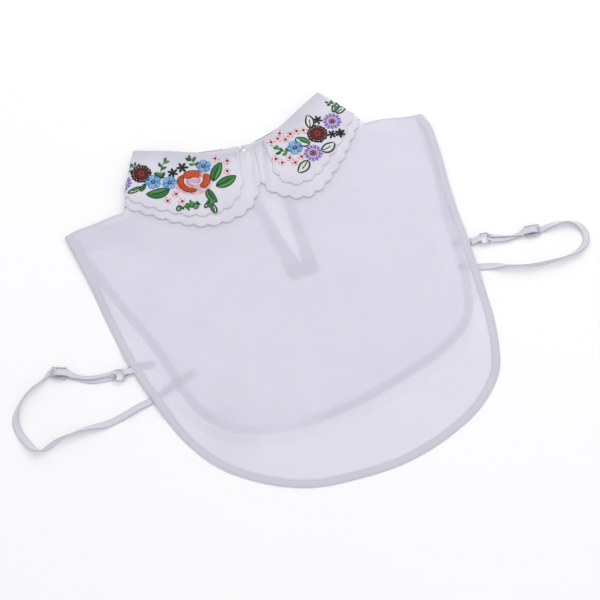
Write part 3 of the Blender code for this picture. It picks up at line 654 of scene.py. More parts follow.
FRONT_CREASES = [
    ([(-158, 145), (-134, 143), (-106, 139)], 4.0, 0.75),
    ([(-160, 138), (-132, 134), (-100, 133)], 7.0, -0.5),
    ([(-176, 120), (-146, 115), (-108, 109)], 4.0, 0.6), ([(-118, 147), (-108, 142)], 2.6, -0.4),
    ([(-81, 100), (-90, 80), (-99, 58)], 4.5, -0.4), ([(-70, 98), (-78, 74)], 5.5, 0.3),
    ([(-96.5, -15), (-99, -22), (-101, -31)], 3.2, -0.35), ([(-96, 40), (-104, 8), (-102, -30)], 12.0, 0.35),
    ([(80, 90), (104, 84), (129, 81)], 3.6, -0.45), ([(128, 90), (148, 83), (168, 79)], 3.6, -0.4),
    ([(84, 97), (112, 92), (140, 88)], 5.0, 0.3), ([(117, 69), (108, 52), (101, 33)], 5.0, -0.35),
    ([(120, 144), (129, 134)], 2.6, -0.45), ([(131, 152), (142, 141)], 3.0, 0.45),
    ([(138, 154), (152, 146)], 2.6, -0.35), ([(16, -155), (19, -169)], 3.0, -0.3),
    ([(-30, 90), (-42, 48), (-40, 0)], 14.0, 0.35), ([(58, 66), (50, 18), (60, -26)], 15.0, 0.4),
    ([(-120, -92), (-108, -118), (-98, -146)], 9.0, -0.5), ([(-136, -60), (-122, -90)], 6.0, 0.5),
    ([(-70, -140), (-20, -152), (28, -150)], 12.0, 0.35), ([(88, -60), (104, -96), (100, -130)], 13.0, 0.3),
    ([(150, 60), (156, 20), (150, -20)], 9.0, -0.3), ([(-150, 70), (-146, 34)], 6.0, -0.25),
    ([(30, 140), (38, 118), (52, 98)], 8.0, -0.3), ([(36, 60), (40, 20), (30, -20)], 8.0, -0.25),
]  # as on the back
FRONT_DEEPEST = -0.4
SETTLES_OVER = (4, 34)
# Painted shade and light on the front: painted shade over the back's hem, the facing and the straps' sewn
# ends, below a fold at the left shoulder and at its lower left corner; painted light at its right side and in
# the slit
HEM_UNDER = (4.0, (3.0, 5.4), 140)  # the back's hem: its middle, how far to its sides it shows, how high up
FACING_UNDER = ((1.5, -0.5), (-0.5, 1.5))  # how it fades at its outer edge and at the slit
FACING_DOUBLED = (38, 35)
END_UNDER = (2.6, 4.4)
TURNED_FOLD = ((-173.7, 123.3), 0.246, (-3.5, 3.5), (-100, -136))  # a point, its fall, how it fades
PAINTED_SHADE_CORNER = ((-118, -108), (24, 30))  # its middle and reach
PAINTED_LIGHT_RIGHT = ((125, 170), (50, -20))  # painted light where only the front lies on the paper at the right, across and up
SLIT_UNDER = (1.0, -1.5)
FRONT_HEM_TONE = 0.1
FRONT_PAINTED_SHADE = {"plain": 0.16, "doubled": 0.16, "end": 0.4, "turned": 0.17, "corner": 0.2}


def end_near(points):
    """How far each point is from the nearest sewn end of a strap or tab."""
    return np.min([nearest(points, end)[0] for end in SEWN_ENDS], axis=0)


def front_height(points):
    """Underside of the front panel above the paper, over the back, its hem and the straps."""
    over_back = 1 - smooth_step(BACK_RAMP, outside(points, BACK_OUTLINE))
    over_strap = 1 - smooth_step(STRAP_ZONE, end_near(points))
    stack = np.minimum(outside(points, COLLAR_OUTLINE), outside(points, FACING_OUTLINE))
    lift = (FRONT_LIFT - FRONT_SETTLES * smooth_step(SETTLES_OVER, stack)) * over_back
    return back_height(points) + lift + (STRAP_LIFT[0] - STRAP_LIFT[1] * over_back) * over_strap


def front_painted_shade(points):
    """Painted shade on the front where it lies over the back's hem, the facing or a strap end, below a fold
    and at its lower left corner, and painted light at its right side and in the slit.
    """
    x, y = points.T
    middle, fades, top = HEM_UNDER
    inside = -outside(points, BACK_OUTLINE)
    over_hem = (1 - smooth_step(fades, np.abs(inside - middle))) * (y < top) * hem_shade_share(points)
    over_facing = smooth_step(FACING_UNDER[0], outside(points, FACING_OUTLINE))
    over_facing *= smooth_step(FACING_UNDER[1], outside(points, SLIT_OUTLINE))
    over_facing *= 1 + smooth_step(FACING_DOUBLED, y)
    over_end = 1 - smooth_step(END_UNDER, end_near(points))
    at, fall, fades, fades_across = TURNED_FOLD
    turned = smooth_step(fades, y - at[1] + fall * (x - at[0])) * smooth_step(fades_across, x)
    at, reach = PAINTED_SHADE_CORNER
    corner = np.exp(-(((x - at[0]) / reach[0]) ** 2) - ((y - at[1]) / reach[1]) ** 2)
    lit_right = smooth_step(PAINTED_LIGHT_RIGHT[0], x) * smooth_step(PAINTED_LIGHT_RIGHT[1], y)
    in_slit = smooth_step(SLIT_UNDER, outside(points, SLIT_OUTLINE))
    shade = FRONT_PAINTED_SHADE["doubled"] * np.maximum(over_hem, over_facing) + FRONT_PAINTED_SHADE["end"] * over_end
    shade = shade + FRONT_PAINTED_SHADE["turned"] * turned + FRONT_PAINTED_SHADE["corner"] * corner
    return np.clip(FRONT_PAINTED_SHADE["plain"] + shade - FRONT_PAINTED_SHADE["plain"] * np.maximum(lit_right, in_slit), 0, 1)


FACING_OUTLINE = np.vstack([outer, [(31.5, 165), (-9.5, 165)]])
front_chiffon = woven("White polyester chiffon", "f0eefb", "cbc9d8", CHIFFON, 0.72)
flat = patch(top_of_panel(), FRONT_SIDE, FRONT_BOTTOM)
points = flat.reshape(-1, 2)
height = front_height(points) + HALF_WALL + np.maximum(creased(points, FRONT_CREASES), FRONT_DEEPEST)
mesh = cloth_mesh()
shade = front_painted_shade(points).reshape(flat.shape[:2])
lay(mesh, np.dstack([flat, height.reshape(flat.shape[:2])]), shade=shade)
front_cloth = settle("front_chiffon", mesh, front_chiffon, "chiffon", "front_panel")
# the front's hem and the shoulder seams are deeper than the cloth: partly their extra layers, partly painted
# shade
hem_chiffon = woven("White polyester chiffon, turned hem", "d7d5e1", "b2b0be", CHIFFON, 0.93)
front_edge, front_in = hem_lines(FRONT_SIDE, FRONT_BOTTOM)
front_hem = hem("front_hem", front_edge, front_in, front_height, hem_chiffon, FRONT_HEM_TONE)
mesh = cloth_mesh()
for seam in HEM_SEAMS:
    stitch_row(mesh, front_edge + front_in * seam, front_height)
front_stitches = settle("front_hem_stitches", mesh, thread_finish, "chiffon")

# Shoulder seams: front and back are joined along each shoulder, with the turnings inside a soft ridge that
# goes round from the back's level to the front's.
SHOULDER_STEPS = 34
SEAM_TUCK = 0.12  # how much further than half round the ridge goes at both its ends
SEAM_REACH = (1.5, 0.1)  # how far out it stands, and where it starts

for side in SIDES:
    line = at_length(curve(SHOULDER[side]), np.linspace(0, 1, SHOULDER_STEPS))
    out = square_to(line)
    out *= np.sign(out[:, 1])[:, None]
    low = back_height(line) + HALF_WALL
    high = front_height(line) + HALF_WALL + creased(line, FRONT_CREASES)
    turns = np.linspace(-SEAM_TUCK, math.pi + SEAM_TUCK, 13)
    reach, rise = np.sin(turns) * SEAM_REACH[0] + SEAM_REACH[1], (1 - np.cos(turns)) / 2
    flat = line[:, None] + out[:, None] * reach[None, :, None]
    height = low[:, None] + (high - low)[:, None] * rise[None]
    mesh = cloth_mesh()
    lay(mesh, np.dstack([flat, height]), shade=flat_shade(flat, 0.3))
    settle(f"shoulder_seam_{side}", mesh, hem_chiffon, "chiffon")

# Neck band: a folded strip of white organza that joins both panels to the collar. It runs round the neck
# inside the leaves' fold, from one edge at the centre back to the other.
STAND_TOP = 0.6
FOLD_MIDDLE = 4.7
UPPER_RADIUS, UNDER_RADIUS, STAND_RADIUS = 4.2, 2.9, 1.6
BAND_ROWS = 6
BAND_FOLD_STEPS = 9
# polyester organza, plain woven of fine bright yarn, two layers thick in a collar: crisp, with a slight
# gloss. Real yarns lie 0.2 mm apart; they are drawn 0.95 mm apart, because finer doesn't show
ORGANZA = {
    "shader": {"Roughness": 0.55, "Sheen_Weight": 0.2, "Specular_IOR_Level": 0.35},
    "pitch": 0.95, "turn": 0.5, "waver": 0.0, "yarn_tone": 0.12, "cloud": 16.7, "cloud_tone": 0.3,
    "even": 0.18, "relief": 0.1,
}


def turn_round(last, side, radius, heights, steps):
    """The columns that take a piece round its shoulder fold, from front to back."""
    out = np.append(fold_out(side), 0.0)
    turned = []
    for angle in np.linspace(0, np.pi, steps + 2)[1:-1]:
        level = last * (1, 1, 0) + (0, 0, FOLD_MIDDLE)
        lift = radius * np.asarray(heights)[:, None]
        turned.append(level + lift * (np.sin(angle) * out + np.cos(angle) * np.array([0, 0, 1])))
    return np.array(turned)


def neck_columns(side, back):
    """Points on the neck seam, and points on the fold above them."""
    seam, fold = neck_seam(side)
    if not back:
        return seam, fold
    whole = np.vstack([neck_seam("left")[0][::-1], neck_seam("right")[0]])
    start, corner = seam[0, 0], seam[-1, 0]
    x = CENTRE_BACK[side] + (seam[:, 0] - start) * (corner - CENTRE_BACK[side]) / (corner - start)
    seam = np.column_stack([x, np.interp(x, whole[:, 0], whole[:, 1])])
    return seam, at_length(neck_line(side, True), np.linspace(0, 1, len(seam)))


collar_organza = woven("White polyester organza", "dad8e3", "b7b5c3", ORGANZA)
halves = []
for side in SIDES:
    layers = []
    for back, level in ((False, FOLD_MIDDLE + STAND_RADIUS), (True, FOLD_MIDDLE - STAND_RADIUS)):
        seam, fold = neck_columns(side, back)
        rise = fold - unit(fold - seam) * STAND_TOP - seam
        flat = seam[:, None] + rise[:, None] * np.linspace(0, 1, BAND_ROWS)[None, :, None]
        layers.append(np.dstack([flat, np.full(flat.shape[:2], level)]))
    turned = turn_round(layers[0][-1], side, STAND_RADIUS, np.ones(BAND_ROWS), BAND_FOLD_STEPS)
    halves.append(np.concatenate([layers[0], turned, layers[1][::-1]]))
points = np.concatenate([halves[0][::-1], halves[1][1:]])
mesh = cloth_mesh()
lay(mesh, points, shade=flat_shade(points, 0.2))
stand = settle("neck_band_organza", mesh, collar_organza, "organza", "neck_stand", wall=0.5)

# Collar leaves: an under and an upper leaf on each side, each one strip of organza with a scalloped edge
# that is bound with close stitches. They fold over the neck band and run round the shoulders to the back.
UPPER_EDGE = {
    "left": [(-5, 144), (-13, 130), (-26, 119), (-42, 116), (-64, 122), (-86, 136), (-104, 150)],
    "right": [(29, 144), (31, 130), (39, 119.5), (52, 117), (66, 121), (82, 132), (98, 145), (110, 157)],
}
UPPER_FOLD_SHARE = 0.84
UPPER_SETBACK = 14.5
SCALLOP_PITCH = 13.6
SCALLOP_DEPTH = 2.8
POINTS_PER_SCALLOP = 12
FOLD_STEPS = 14
SCALLOP_ZONE = (0.86, 1.0)
# height as a share of the leaf's radius, and reach past the neck line
NECK_ROLL = [(0.02, 0.0), (0.45, 0.2), (0.8, 0.8), (0.95, 0.55), (1.0, 0.0)]
UNDER_ROLL = [(1.0, 0.0)] * 4 + [(1.0, -0.5)]
LEAF_SHARES = np.array([
    0.045, 0.08, 0.12, 0.17, 0.23, 0.3, 0.37, 0.44, 0.51, 0.58, 0.65, 0.72, 0.79, 0.85, 0.9, 0.935, 0.965,
    0.985, 1.0,
])
LEAF_WALL = 0.42
EDGE_CORD = 0.26
EDGE_TUFTS = 1.11  # how wide the tufts of its textured thread are
EDGE_DROP = 0.6
EDGE_ZONE = (0.88, 1.0)
UNDER_DROP = 1.6  # how many times further the under leaf's edge comes down at the shoulder fold
FOLD_ZONE = (0.9, 1.0)
NOTCH_ZONE = (0, 0.05)
TANGENT_STEP = 0.004
NOTCH_SHIFT = {"left": (7.8, 1.8), "right": (6.6, 2.0)}  # the leaves meet a little to the right at the neck
NOTCH_CLOSING = {"left": 0.5, "right": -0.9}
GATHERS = {
    "left": [(0.1, 1.4, 0.56), (2.3, 1.3, -0.44), (4.3, 1.4, 0.6), (10.5, 2.2, 0.46), (15.0, 2.0, -0.4),
             (-9.0, 3.2, 0.28), (-17, 3.4, -0.2)],
    "right": [(24.2, 1.5, 0.6), (26.8, 1.3, -0.34), (29.6, 1.5, -0.46), (33.4, 1.9, 0.58), (37.5, 2.0, -0.32),
              (44, 4.0, 0.22)],
}  # x at the neck, half width, rise: how the leaves gather beside the notch
GATHERS_FROM = 172
GATHERS_DEEP = 60
GATHERS_LEAN = -0.27
GATHERS_SWAY = (0.5, 7.0)
GATHERS_SPREAD = 0.03
GATHERS_RISE = (0, 6)
GATHERS_FADE = (0.6, (20, 50))
SLOW_WAVE = (0.16, 9.5, 0.7, 8.0)  # rise, length across, phase, length up and down
GATHERS_PAINTED_SHADE = 0.45  # painted shade and light on the gathers: how much deeper the cloth looks in a trough, and lighter on a ridge, for each millimetre
LEAF_TONE = 0.08
LEAF_EDGE_SHADOW = (0.16, 0.032)  # painted shadow of the bound edge: how much deeper the cloth looks at its edge, and over what share of the leaf
# painted shade over the neck's fold: how much deeper the cloth looks, and over what share of the leaf
NECK_PAINTED_SHADE = (0.42, 0.26)
SEAM_GRIP = 0.004


def gathered(flat, side):
    """Height of the soft gathers that run down a leaf from the neck, beside the notch."""
    x, y = flat[..., 0], flat[..., 1]
    down = np.clip(GATHERS_FROM - y, 0, GATHERS_DEEP)
    across = x - GATHERS_LEAN * down + GATHERS_SWAY[0] * np.sin(y / GATHERS_SWAY[1])
    height = np.zeros(flat.shape[:-1])
    for at, half_width, rise in GATHERS[side]:
        height += rise * np.exp(-(((across - at) / (half_width + down * GATHERS_SPREAD)) ** 2))
    height *= smooth_step(GATHERS_RISE, down) * (1 - GATHERS_FADE[0] * smooth_step(GATHERS_FADE[1], down))
    rise, wide, phase, tall = SLOW_WAVE
    return height + rise * np.sin(x / wide + phase) * np.sin(y / tall)


def leaf(side, edge, fold_share, setback, radius, neck_roll, closing):
    """Points of one leaf, from the centre front round the shoulder fold to the centre back."""
    place = []
    end_drop = EDGE_DROP * (UNDER_DROP if radius == UNDER_RADIUS else 1.0)
    for back in (False, True):
        line = edge_line(side, edge, fold_share, back)
        count = round(length_of(line) / SCALLOP_PITCH)
        stations = np.linspace(0, 1, count * POINTS_PER_SCALLOP + 1)
        depth = SCALLOP_DEPTH * np.abs(np.sin(np.pi * stations * count))
        top = at_length(neck_line(side, back, setback), stations)
        bottom = at_length(line, stations)
        at_notch = (1 - smooth_step(NOTCH_ZONE, stations)) * (not back)
        at_fold = smooth_step(FOLD_ZONE, stations)
        if closing:
            top += np.array(NOTCH_SHIFT[side]) * at_notch[:, None]
            bottom[:, 0] += closing * at_notch
        steps = (TANGENT_STEP, -TANGENT_STEP)
        ahead, behind = (at_length(line, np.clip(stations + step, 0, 1)) for step in steps)
        tangent = unit(ahead - behind)
        normal = np.stack([tangent[:, 1], -tangent[:, 0]], axis=1)
        normal *= np.sign((normal * (bottom - top)).sum(1))[:, None]
        down = unit(bottom - top)
        sign = -1 if back else 1
        part = []
        for height, reach in neck_roll:
            height = max(height, STAND_RADIUS / radius) if back else height
            level = np.full(len(top), FOLD_MIDDLE + sign * height * radius)
            part.append(np.column_stack([top - down * reach, level]))
        for share in LEAF_SHARES:
            flat = top + (bottom - top) * share + normal * (depth * smooth_step(SCALLOP_ZONE, share))[:, None]
            wave = gathered(flat, side) * min(1, share * 4) * (1 - at_fold) * (not back)
            drop = np.maximum(smooth_step(EDGE_ZONE, share), at_notch * min(1, share * 5))
            wave = wave - drop * (EDGE_DROP + (end_drop - EDGE_DROP) * at_fold)
            part.append(np.column_stack([flat, FOLD_MIDDLE + sign * (radius + wave)]))
        part = np.stack(part, axis=1)
        place.append(part[::-1] if back else part)
    edge_heights = 1 - smooth_step(EDGE_ZONE, LEAF_SHARES) * end_drop / radius
    heights = [height for height, _ in neck_roll] + list(edge_heights)
    turned = turn_round(place[0][-1], side, radius, heights, FOLD_STEPS)
    return np.concatenate([place[0], turned, place[1]])


def tube(mesh, points, radius, sides, closed=False):
    """A round cord along points (x, y, z), wrapped from a grid; seal() closes its seam, and its ends if it is
    closed.
    """
    points = np.asarray(points, float)
    if closed:
        tangent = unit(np.roll(points, -1, axis=0) - np.roll(points, 1, axis=0))
    else:
        tangent = unit(np.gradient(points, axis=0))
    up, carried = np.empty_like(points), np.array([0.0, 0.0, 1.0])
    for place, way in enumerate(tangent):
        carried = unit(carried - way * (carried @ way))
        up[place] = carried
    aside = np.cross(tangent, up)
    if closed:
        points, up, aside = (np.concatenate([values, values[:1]]) for values in (points, up, aside))
    size = np.full(len(points), float(radius)) if np.isscalar(radius) else np.asarray(radius, float)
    turns = np.linspace(0, 2 * np.pi, sides + 1)
    ring = np.cos(turns)[None, :, None] * up[:, None] + np.sin(turns)[None, :, None] * aside[:, None]
    return lay(mesh, points[:, None] + ring * size[:, None, None])


def seal(mesh):
    """Closes the seams of wrapped grids and turns every face outwards."""
    bmesh.ops.remove_doubles(mesh, verts=mesh.verts[:], dist=SEAM_GRIP * MM)
    mesh.normal_update()
    bmesh.ops.recalc_face_normals(mesh, faces=mesh.faces[:])


def scalloped_leaf(name, node, side, edge, fold_share, setback, radius, neck_roll, closing):
    """One leaf and its bound edge, with painted shade over the neck's fold, a painted shadow along the
    scallops, and painted shade and light on its gathers.
    """
    points = leaf(side, edge, fold_share, setback, radius, neck_roll, closing)
    shares = np.concatenate([np.zeros(len(neck_roll)), LEAF_SHARES])
    shade = LEAF_TONE + LEAF_EDGE_SHADOW[0] * np.exp(-(((1 - shares) / LEAF_EDGE_SHADOW[1]) ** 2))
    shade = shade + NECK_PAINTED_SHADE[0] * np.exp(-((shares / NECK_PAINTED_SHADE[1]) ** 2))
    mesh = cloth_mesh()
    lay(mesh, points, shade=shade[None, :] - GATHERS_PAINTED_SHADE * gathered(points[..., :2], side))
    piece = settle(name, mesh, collar_organza, "organza", node, wall=LEAF_WALL)
    mesh = cloth_mesh()
    rim = np.concatenate([points[0, 4:-1], points[:, -1], points[-1, 4:-1][::-1]])
    tube(mesh, rim, EDGE_CORD, 6)
    seal(mesh)
    return piece, settle(f"{name}_bound_edge", mesh, edge_thread, "organza")


# close overlock stitches round the edge, in a thread a shade deeper than the cloth: partly its own colour,
# partly a painted shadow line along the edge
edge_thread, tree, shader = finish_of(
    "White overlock thread, textured polyester", Roughness=0.6, Sheen_Weight=0.15
)
spots = add(tree, "ShaderNodeTexCoord").outputs["Object"]
tufts = {"Vector": spots, "Scale": clouds(EDGE_TUFTS), "Detail": 1.0}
twist = add(tree, "ShaderNodeTexNoise", tufts).outputs["Fac"]
tones = {"Factor": twist, 6: linear("c8c6d2"), 7: linear("dfdde7")}
tint = add(tree, "ShaderNodeMix", tones, data_type="RGBA")
tree.links.new(tint.outputs[2], shader.inputs["Base Color"])
bump = add(tree, "ShaderNodeBump", {"Height": twist, "Strength": 0.3, "Distance": 0.0003})
tree.links.new(bump.outputs["Normal"], shader.inputs["Normal"])

upper_leaves = {}
for side in SIDES:
    piece, bound = scalloped_leaf(
        f"under_leaf_{side}", f"collar_under_leaf_{side}", side, UNDER_EDGE, 1.0, 0.0, UNDER_RADIUS,
        UNDER_ROLL, NOTCH_CLOSING[side],
    )
    upper_leaves[side] = scalloped_leaf(
        f"upper_leaf_{side}", f"collar_upper_leaf_{side}", side, UPPER_EDGE, UPPER_FOLD_SHARE, UPPER_SETBACK,
        UPPER_RADIUS, NECK_ROLL, 0.0,
    )

# Embroidery: flowers, leaves and berries in glossy rayon thread, worked in satin stitch through the upper
# leaves before the collar was sewn. Stitches stand up in soft domes, and run on round the shoulder folds.
LEAF_TOP = 0.24
FRAME_HALF = 300
PIXEL = 0.96  # one pixel of the 600-pixel frame on the garment
LEAF_PLANE = 9.3
THREAD_PITCH = 0.8
THREAD_UNEVEN = 0.06
STITCH_TUCK = 0.12  # how far a stitch goes down into the leaf at its ends and sides
GROUND_REACH = 0.86
ENDS_OFF = 0.12
SPRIG_TURN = 0.78
SPRIG_UNEVEN = 0.16
thread_luck = np.random.default_rng(7)

# glossy thread in the colour of its motif. Real ones lie 0.4 mm apart; every second one is drawn, because
# finer doesn't show
embroidery_thread, tree, shader = finish_of(
    "Rayon embroidery thread, satin stitch", Roughness=0.42, Sheen_Weight=0.02, Specular_IOR_Level=0.28
)
colour = add(tree, "ShaderNodeAttribute", attribute_name="thread").outputs["Color"]
lines = add(tree, "ShaderNodeAttribute", attribute_name="weave").outputs["Vector"]
bands = {"Vector": lines, "Scale": waves(THREAD_PITCH), "Distortion": 0.5}
strand = add(tree, "ShaderNodeTexWave", bands, bands_direction="Y").outputs["Fac"]
dark = add(tree, "ShaderNodeMix", {"Factor": 0.26, 6: colour, 7: linear("14100f")}, data_type="RGBA")
tint = add(tree, "ShaderNodeMix", {"Factor": strand, 6: dark.outputs[2], 7: colour}, data_type="RGBA")
tree.links.new(tint.outputs[2], shader.inputs["Base Color"])
bump = add(tree, "ShaderNodeBump", {"Height": strand, "Strength": 0.35, "Distance": 0.0003})
tree.links.new(bump.outputs["Normal"], shader.inputs["Normal"])


def seen(spots):
    """Garment millimetres under spots of the 600-pixel frame, on the plane of the upper leaves."""
    spots = np.atleast_2d(np.asarray(spots, float))
    right = np.array([math.cos(TURN), math.sin(TURN), 0.0])
    towards = np.array(way_back)
    up = np.cross(towards, right)
    away = CAMERA_AWAY / MM
    aside = (spots[:, :1] - FRAME_HALF) * PIXEL * right + (FRAME_HALF - spots[:, 1:]) * PIXEL * up
    rays = aside - away * towards
    start = away * towards
    return (start + rays * ((LEAF_PLANE - start[2]) / rays[:, 2:]))[:, :2]


def on_leaf(flat, lift, side):
    """Puts plan points on the upper leaf: flat on the front, round its shoulder fold, and flat behind."""
    out = fold_out(side)
    radius = UPPER_RADIUS + LEAF_TOP + lift
    beyond = (flat - np.array(SHOULDER_FOLD_END[side])) @ out
    turn = np.clip(beyond / UPPER_RADIUS, 0, np.pi)
    behind = np.maximum(beyond - np.pi * UPPER_RADIUS, 0)
    base = flat - out * np.maximum(beyond, 0)[:, None]
    spot = base + out * (radius * np.sin(turn) - behind)[:, None]
    wave = gathered(flat, side) * (beyond < -10)
    return np.column_stack([spot, FOLD_MIDDLE + radius * np.cos(turn) + wave])


def satin(mesh, side, spine, widths, colour, dome=0.35, lift=0.0, across=5, grain="along"):
    """Satin stitch along a spine of plan points, as wide as widths, in a soft dome."""
    spine, widths = np.asarray(spine, float), np.asarray(widths, float)
    share = np.linspace(0, 1, len(spine))
    tangent = unit(np.gradient(spine, axis=0) + 1e-9)
    normal = np.column_stack([-tangent[:, 1], tangent[:, 0]])
    reach = np.linspace(-1, 1, across)
    aside = reach[None] * widths[:, None] / 2
    flat = spine[:, None] + normal[:, None] * aside[..., None]
    ends = np.clip(np.sin(np.pi * np.clip(share, 0.02, 0.98)) * 2.4, 0, 1)[:, None]
    height = lift + dome * np.sqrt(np.maximum(0, 1 - reach[None] ** 2)) * ends
    height = height - STITCH_TUCK * np.maximum(np.abs(reach[None]) ** 6, 1 - ends)
    along = share[:, None] * length_of(spine) + 0 * aside
    lines = {"along": aside, "slant": along - 0.6 * np.abs(aside), "twist": aside + 0.7 * along}[grain]
    weave = np.dstack([along, lines, 0 * along]) * MM
    shown = np.array(linear(colour)) * (1 + THREAD_UNEVEN * thread_luck.uniform(-1, 1))
    shown = np.broadcast_to((*np.minimum(shown[:3], 1), 1.0), (*aside.shape, 4))
    spots = on_leaf(flat.reshape(-1, 2), height.ravel(), side).reshape(*aside.shape, 3)
    lay(mesh, spots, weave=weave, thread=shown)


def stem(mesh, side, points, width, colour, lift):
    """A line of stem stitch through plan points, drawn in at both its ends."""
    line = curve(points, 5)
    line = at_length(line, np.linspace(0, 1, max(5, round(length_of(line) / 1.1))))
    widths = width * np.clip(np.sin(np.linspace(ENDS_OFF, np.pi - ENDS_OFF, len(line))) * 2.5, 0.3, 1)
    satin(mesh, side, line, widths, colour, 0.32, lift, 3, "twist")


def stem_edges(mesh, side, spine, widths, width, colour, lift):
    """A line of stem stitch along both sides of a shape that lies along a spine."""
    for way in (-1, 1):
        stem(mesh, side, spine + square_to(spine) * widths[:, None] * way / 2, width, colour, lift)


def blade(base, tip, width, bend, fullness, point, count):
    """Spine and widths of a petal or leaf. Under 1, fullness brings its widest place towards the base."""
    base, tip = np.asarray(base, float), np.asarray(tip, float)
    t = np.linspace(0, 1, count)
    run = tip - base
    side_way = np.array([-run[1], run[0]])
    spine = base + run * t[:, None] + side_way * (bend * np.sin(np.pi * t))[:, None]
    return spine, width * np.sin(np.pi * t**fullness).clip(0.03, 1) ** point


def knot(mesh, side, centre, radius, colour, dome, lift, count):
    """A small round of stitches, such as a French knot or the ground under a flower."""
    t = np.linspace(-1, 1, count)
    spine = np.asarray(centre) + np.column_stack([t * radius, 0 * t])
    satin(mesh, side, spine, 2 * radius * np.sqrt(1 - (t * 0.985) ** 2), colour, dome, lift, count)


def spray(mesh, side, centre, inner, outer, count, width, colours, phase, lift, fullness, across=3,
          steps=5, dome=0.3):
    """Petals that stand round a centre, from one distance out to another, none quite as long as the next."""
    for number in range(count):
        turn = 2 * math.pi * number / count + phase
        way = np.array([math.cos(turn), math.sin(turn)])
        length = outer * (1 + 0.05 * thread_luck.uniform(-1, 1))
        spine, widths = blade(centre + way * inner, centre + way * length, width, 0.0, fullness, 0.65, steps)
        satin(mesh, side, spine, widths, colours[number % len(colours)], dome, lift, across)


def knots_round(mesh, side, centre, radius, count, size, colour, phase, lift):
    """A ring of knots round a centre, unevenly spaced."""
    for number in range(count):
        turn = 2 * math.pi * number / count + phase + 0.1 * thread_luck.uniform(-1, 1)
        spot = centre + radius * np.array([math.cos(turn), math.sin(turn)])
        knot(mesh, side, spot, size, colour, 0.22, lift, 4)


# both flowers as rings from the ground up. Reaches and widths are shares of the radius, a knot's size is in
# millimetres, and phase and lift stand at the end of each row, before the petals' fullness
DAHLIA = [
    ("petals", 0.68, 1.04, 19, 0.36, ("0b0406", "16060a"), 0.1, 0.14, 1.5),
    ("petals", 0.24, 0.82, 18, 0.29, ("620d17", "3c0910"), 0.0, 0.3, 1.2),
    ("knots", 0.8, 18, 0.5, "d9b5ab", 0.26, 0.55),
    ("petals", 0.06, 0.4, 10, 0.22, ("8a171c", "5c0f15"), 0.2, 0.5, 1.2),
    ("knots", 0.22, 7, 0.45, "dd7a58", 0.0, 0.8),
]
ASTER = [
    ("petals", 0.6, 1.04, 26, 0.21, ("8a66c4", "c3b2e6"), 0.0, 0.12, 1.3),
    ("petals", 0.56, 0.74, 18, 0.14, ("5c3795", "6e49aa"), 0.07, 0.3, 1.2),
    ("knots", 0.5, 16, 0.58, "f1eaf9", 0.0, 0.4),
    ("petals", 0.32, 0.44, 12, 0.12, ("6b3fa3", "7d55b4"), 0.1, 0.42, 1.2),
    ("petals", 0.04, 0.32, 9, 0.17, ("7c1f33", "5e1424"), 0.0, 0.5, 1.2),
    ("knots", 0.17, 5, 0.42, "e8b4ae", 0.4, 0.8),
]


def ringed_flower(mesh, side, centre, radius, ground, dome, rings):
    """A round flower: rings of petals and knots over a ground that fills it."""
    knot(mesh, side, centre, radius * GROUND_REACH, ground, dome, 0.0, 9)
    for kind, *ring in rings:
        if kind == "petals":
            inner, outer, count, width, *rest = ring
            spray(mesh, side, centre, radius * inner, radius * outer, count, radius * width, *rest)
        else:
            reach, *rest = ring
            knots_round(mesh, side, centre, radius * reach, *rest)


def blue_flower(mesh, side, centre, radius, phase):
    """Five round petals with fine lines and a deeper edge, and a dark ring round a pink eye."""
    knot(mesh, side, centre, radius * 0.5, "4f90c8", 0.1, 0.0, 6)
    for number in range(5):
        turn = 2 * math.pi * number / 5 + phase
        way = np.array([math.cos(turn), math.sin(turn)])
        base, tip = centre + way * radius * 0.16, centre + way * radius
        spine, widths = blade(base, tip, radius * 0.84, 0.0, 1.5, 0.66, 8)
        satin(mesh, side, spine, widths, ("6fb2e4", "86c0ec")[number % 2], 0.3, 0.06, 7)
        normal = np.array([-way[1], way[0]])
        for share in (-0.3, 0.0, 0.3):
            reaches = radius * np.array([0.3, 0.56, 0.82])[:, None]
            line = centre + way * reaches + normal * share * reaches
            stem(mesh, side, line, 0.65, ("2f70b2", "b9dcf5")[(number + (share == 0)) % 2], 0.34)
        for share in (-1, 1):
            stem(mesh, side, spine[2:] + normal * share * widths[2:, None] / 2, 0.7, "4a8cc8", 0.22)
    knots_round(mesh, side, centre, radius * 0.2, 6, 0.85, "4e2228", 0.3, 0.5)
    knot(mesh, side, centre, radius * 0.11, "e2aeb0", 0.3, 0.75, 4)


def dark_star(mesh, side, centre, radius, phase):
    """Six pointed black petals round a knot."""
    reach, width = radius * 1.06, radius * 0.5
    spray(mesh, side, centre, 0.0, reach, 6, width, ("0b0b0e", "141418"), phase, 0.05, 1.3, 5, 8, 0.5)
    knot(mesh, side, centre, radius * 0.2, "18181c", 0.3, 0.35, 5)


def berry(mesh, side, centre, radius, phase):
    """A round berry: a pale ground, a broken ring of deeper strokes and a dark core."""
    knot(mesh, side, centre, radius, "f5d9de", 0.25, 0.0, 8)
    for number in range(4):
        turns = phase + number * math.pi / 2 + np.linspace(0, 1.2, 4)
        stem(mesh, side, centre + radius * 0.78 * np.column_stack([np.cos(turns), np.sin(turns)]), 1.15,
             ("dc8f9f", "eaaab8")[number % 2], 0.16)
    spot = centre + 0.5 * np.array([math.cos(phase), math.sin(phase)])
    knot(mesh, side, spot, radius * 0.38, "5f1420", 0.3, 0.3, 5)
    knots_round(mesh, side, centre, radius * 0.52, 3, 0.3, "b04a5d", phase, 0.34)


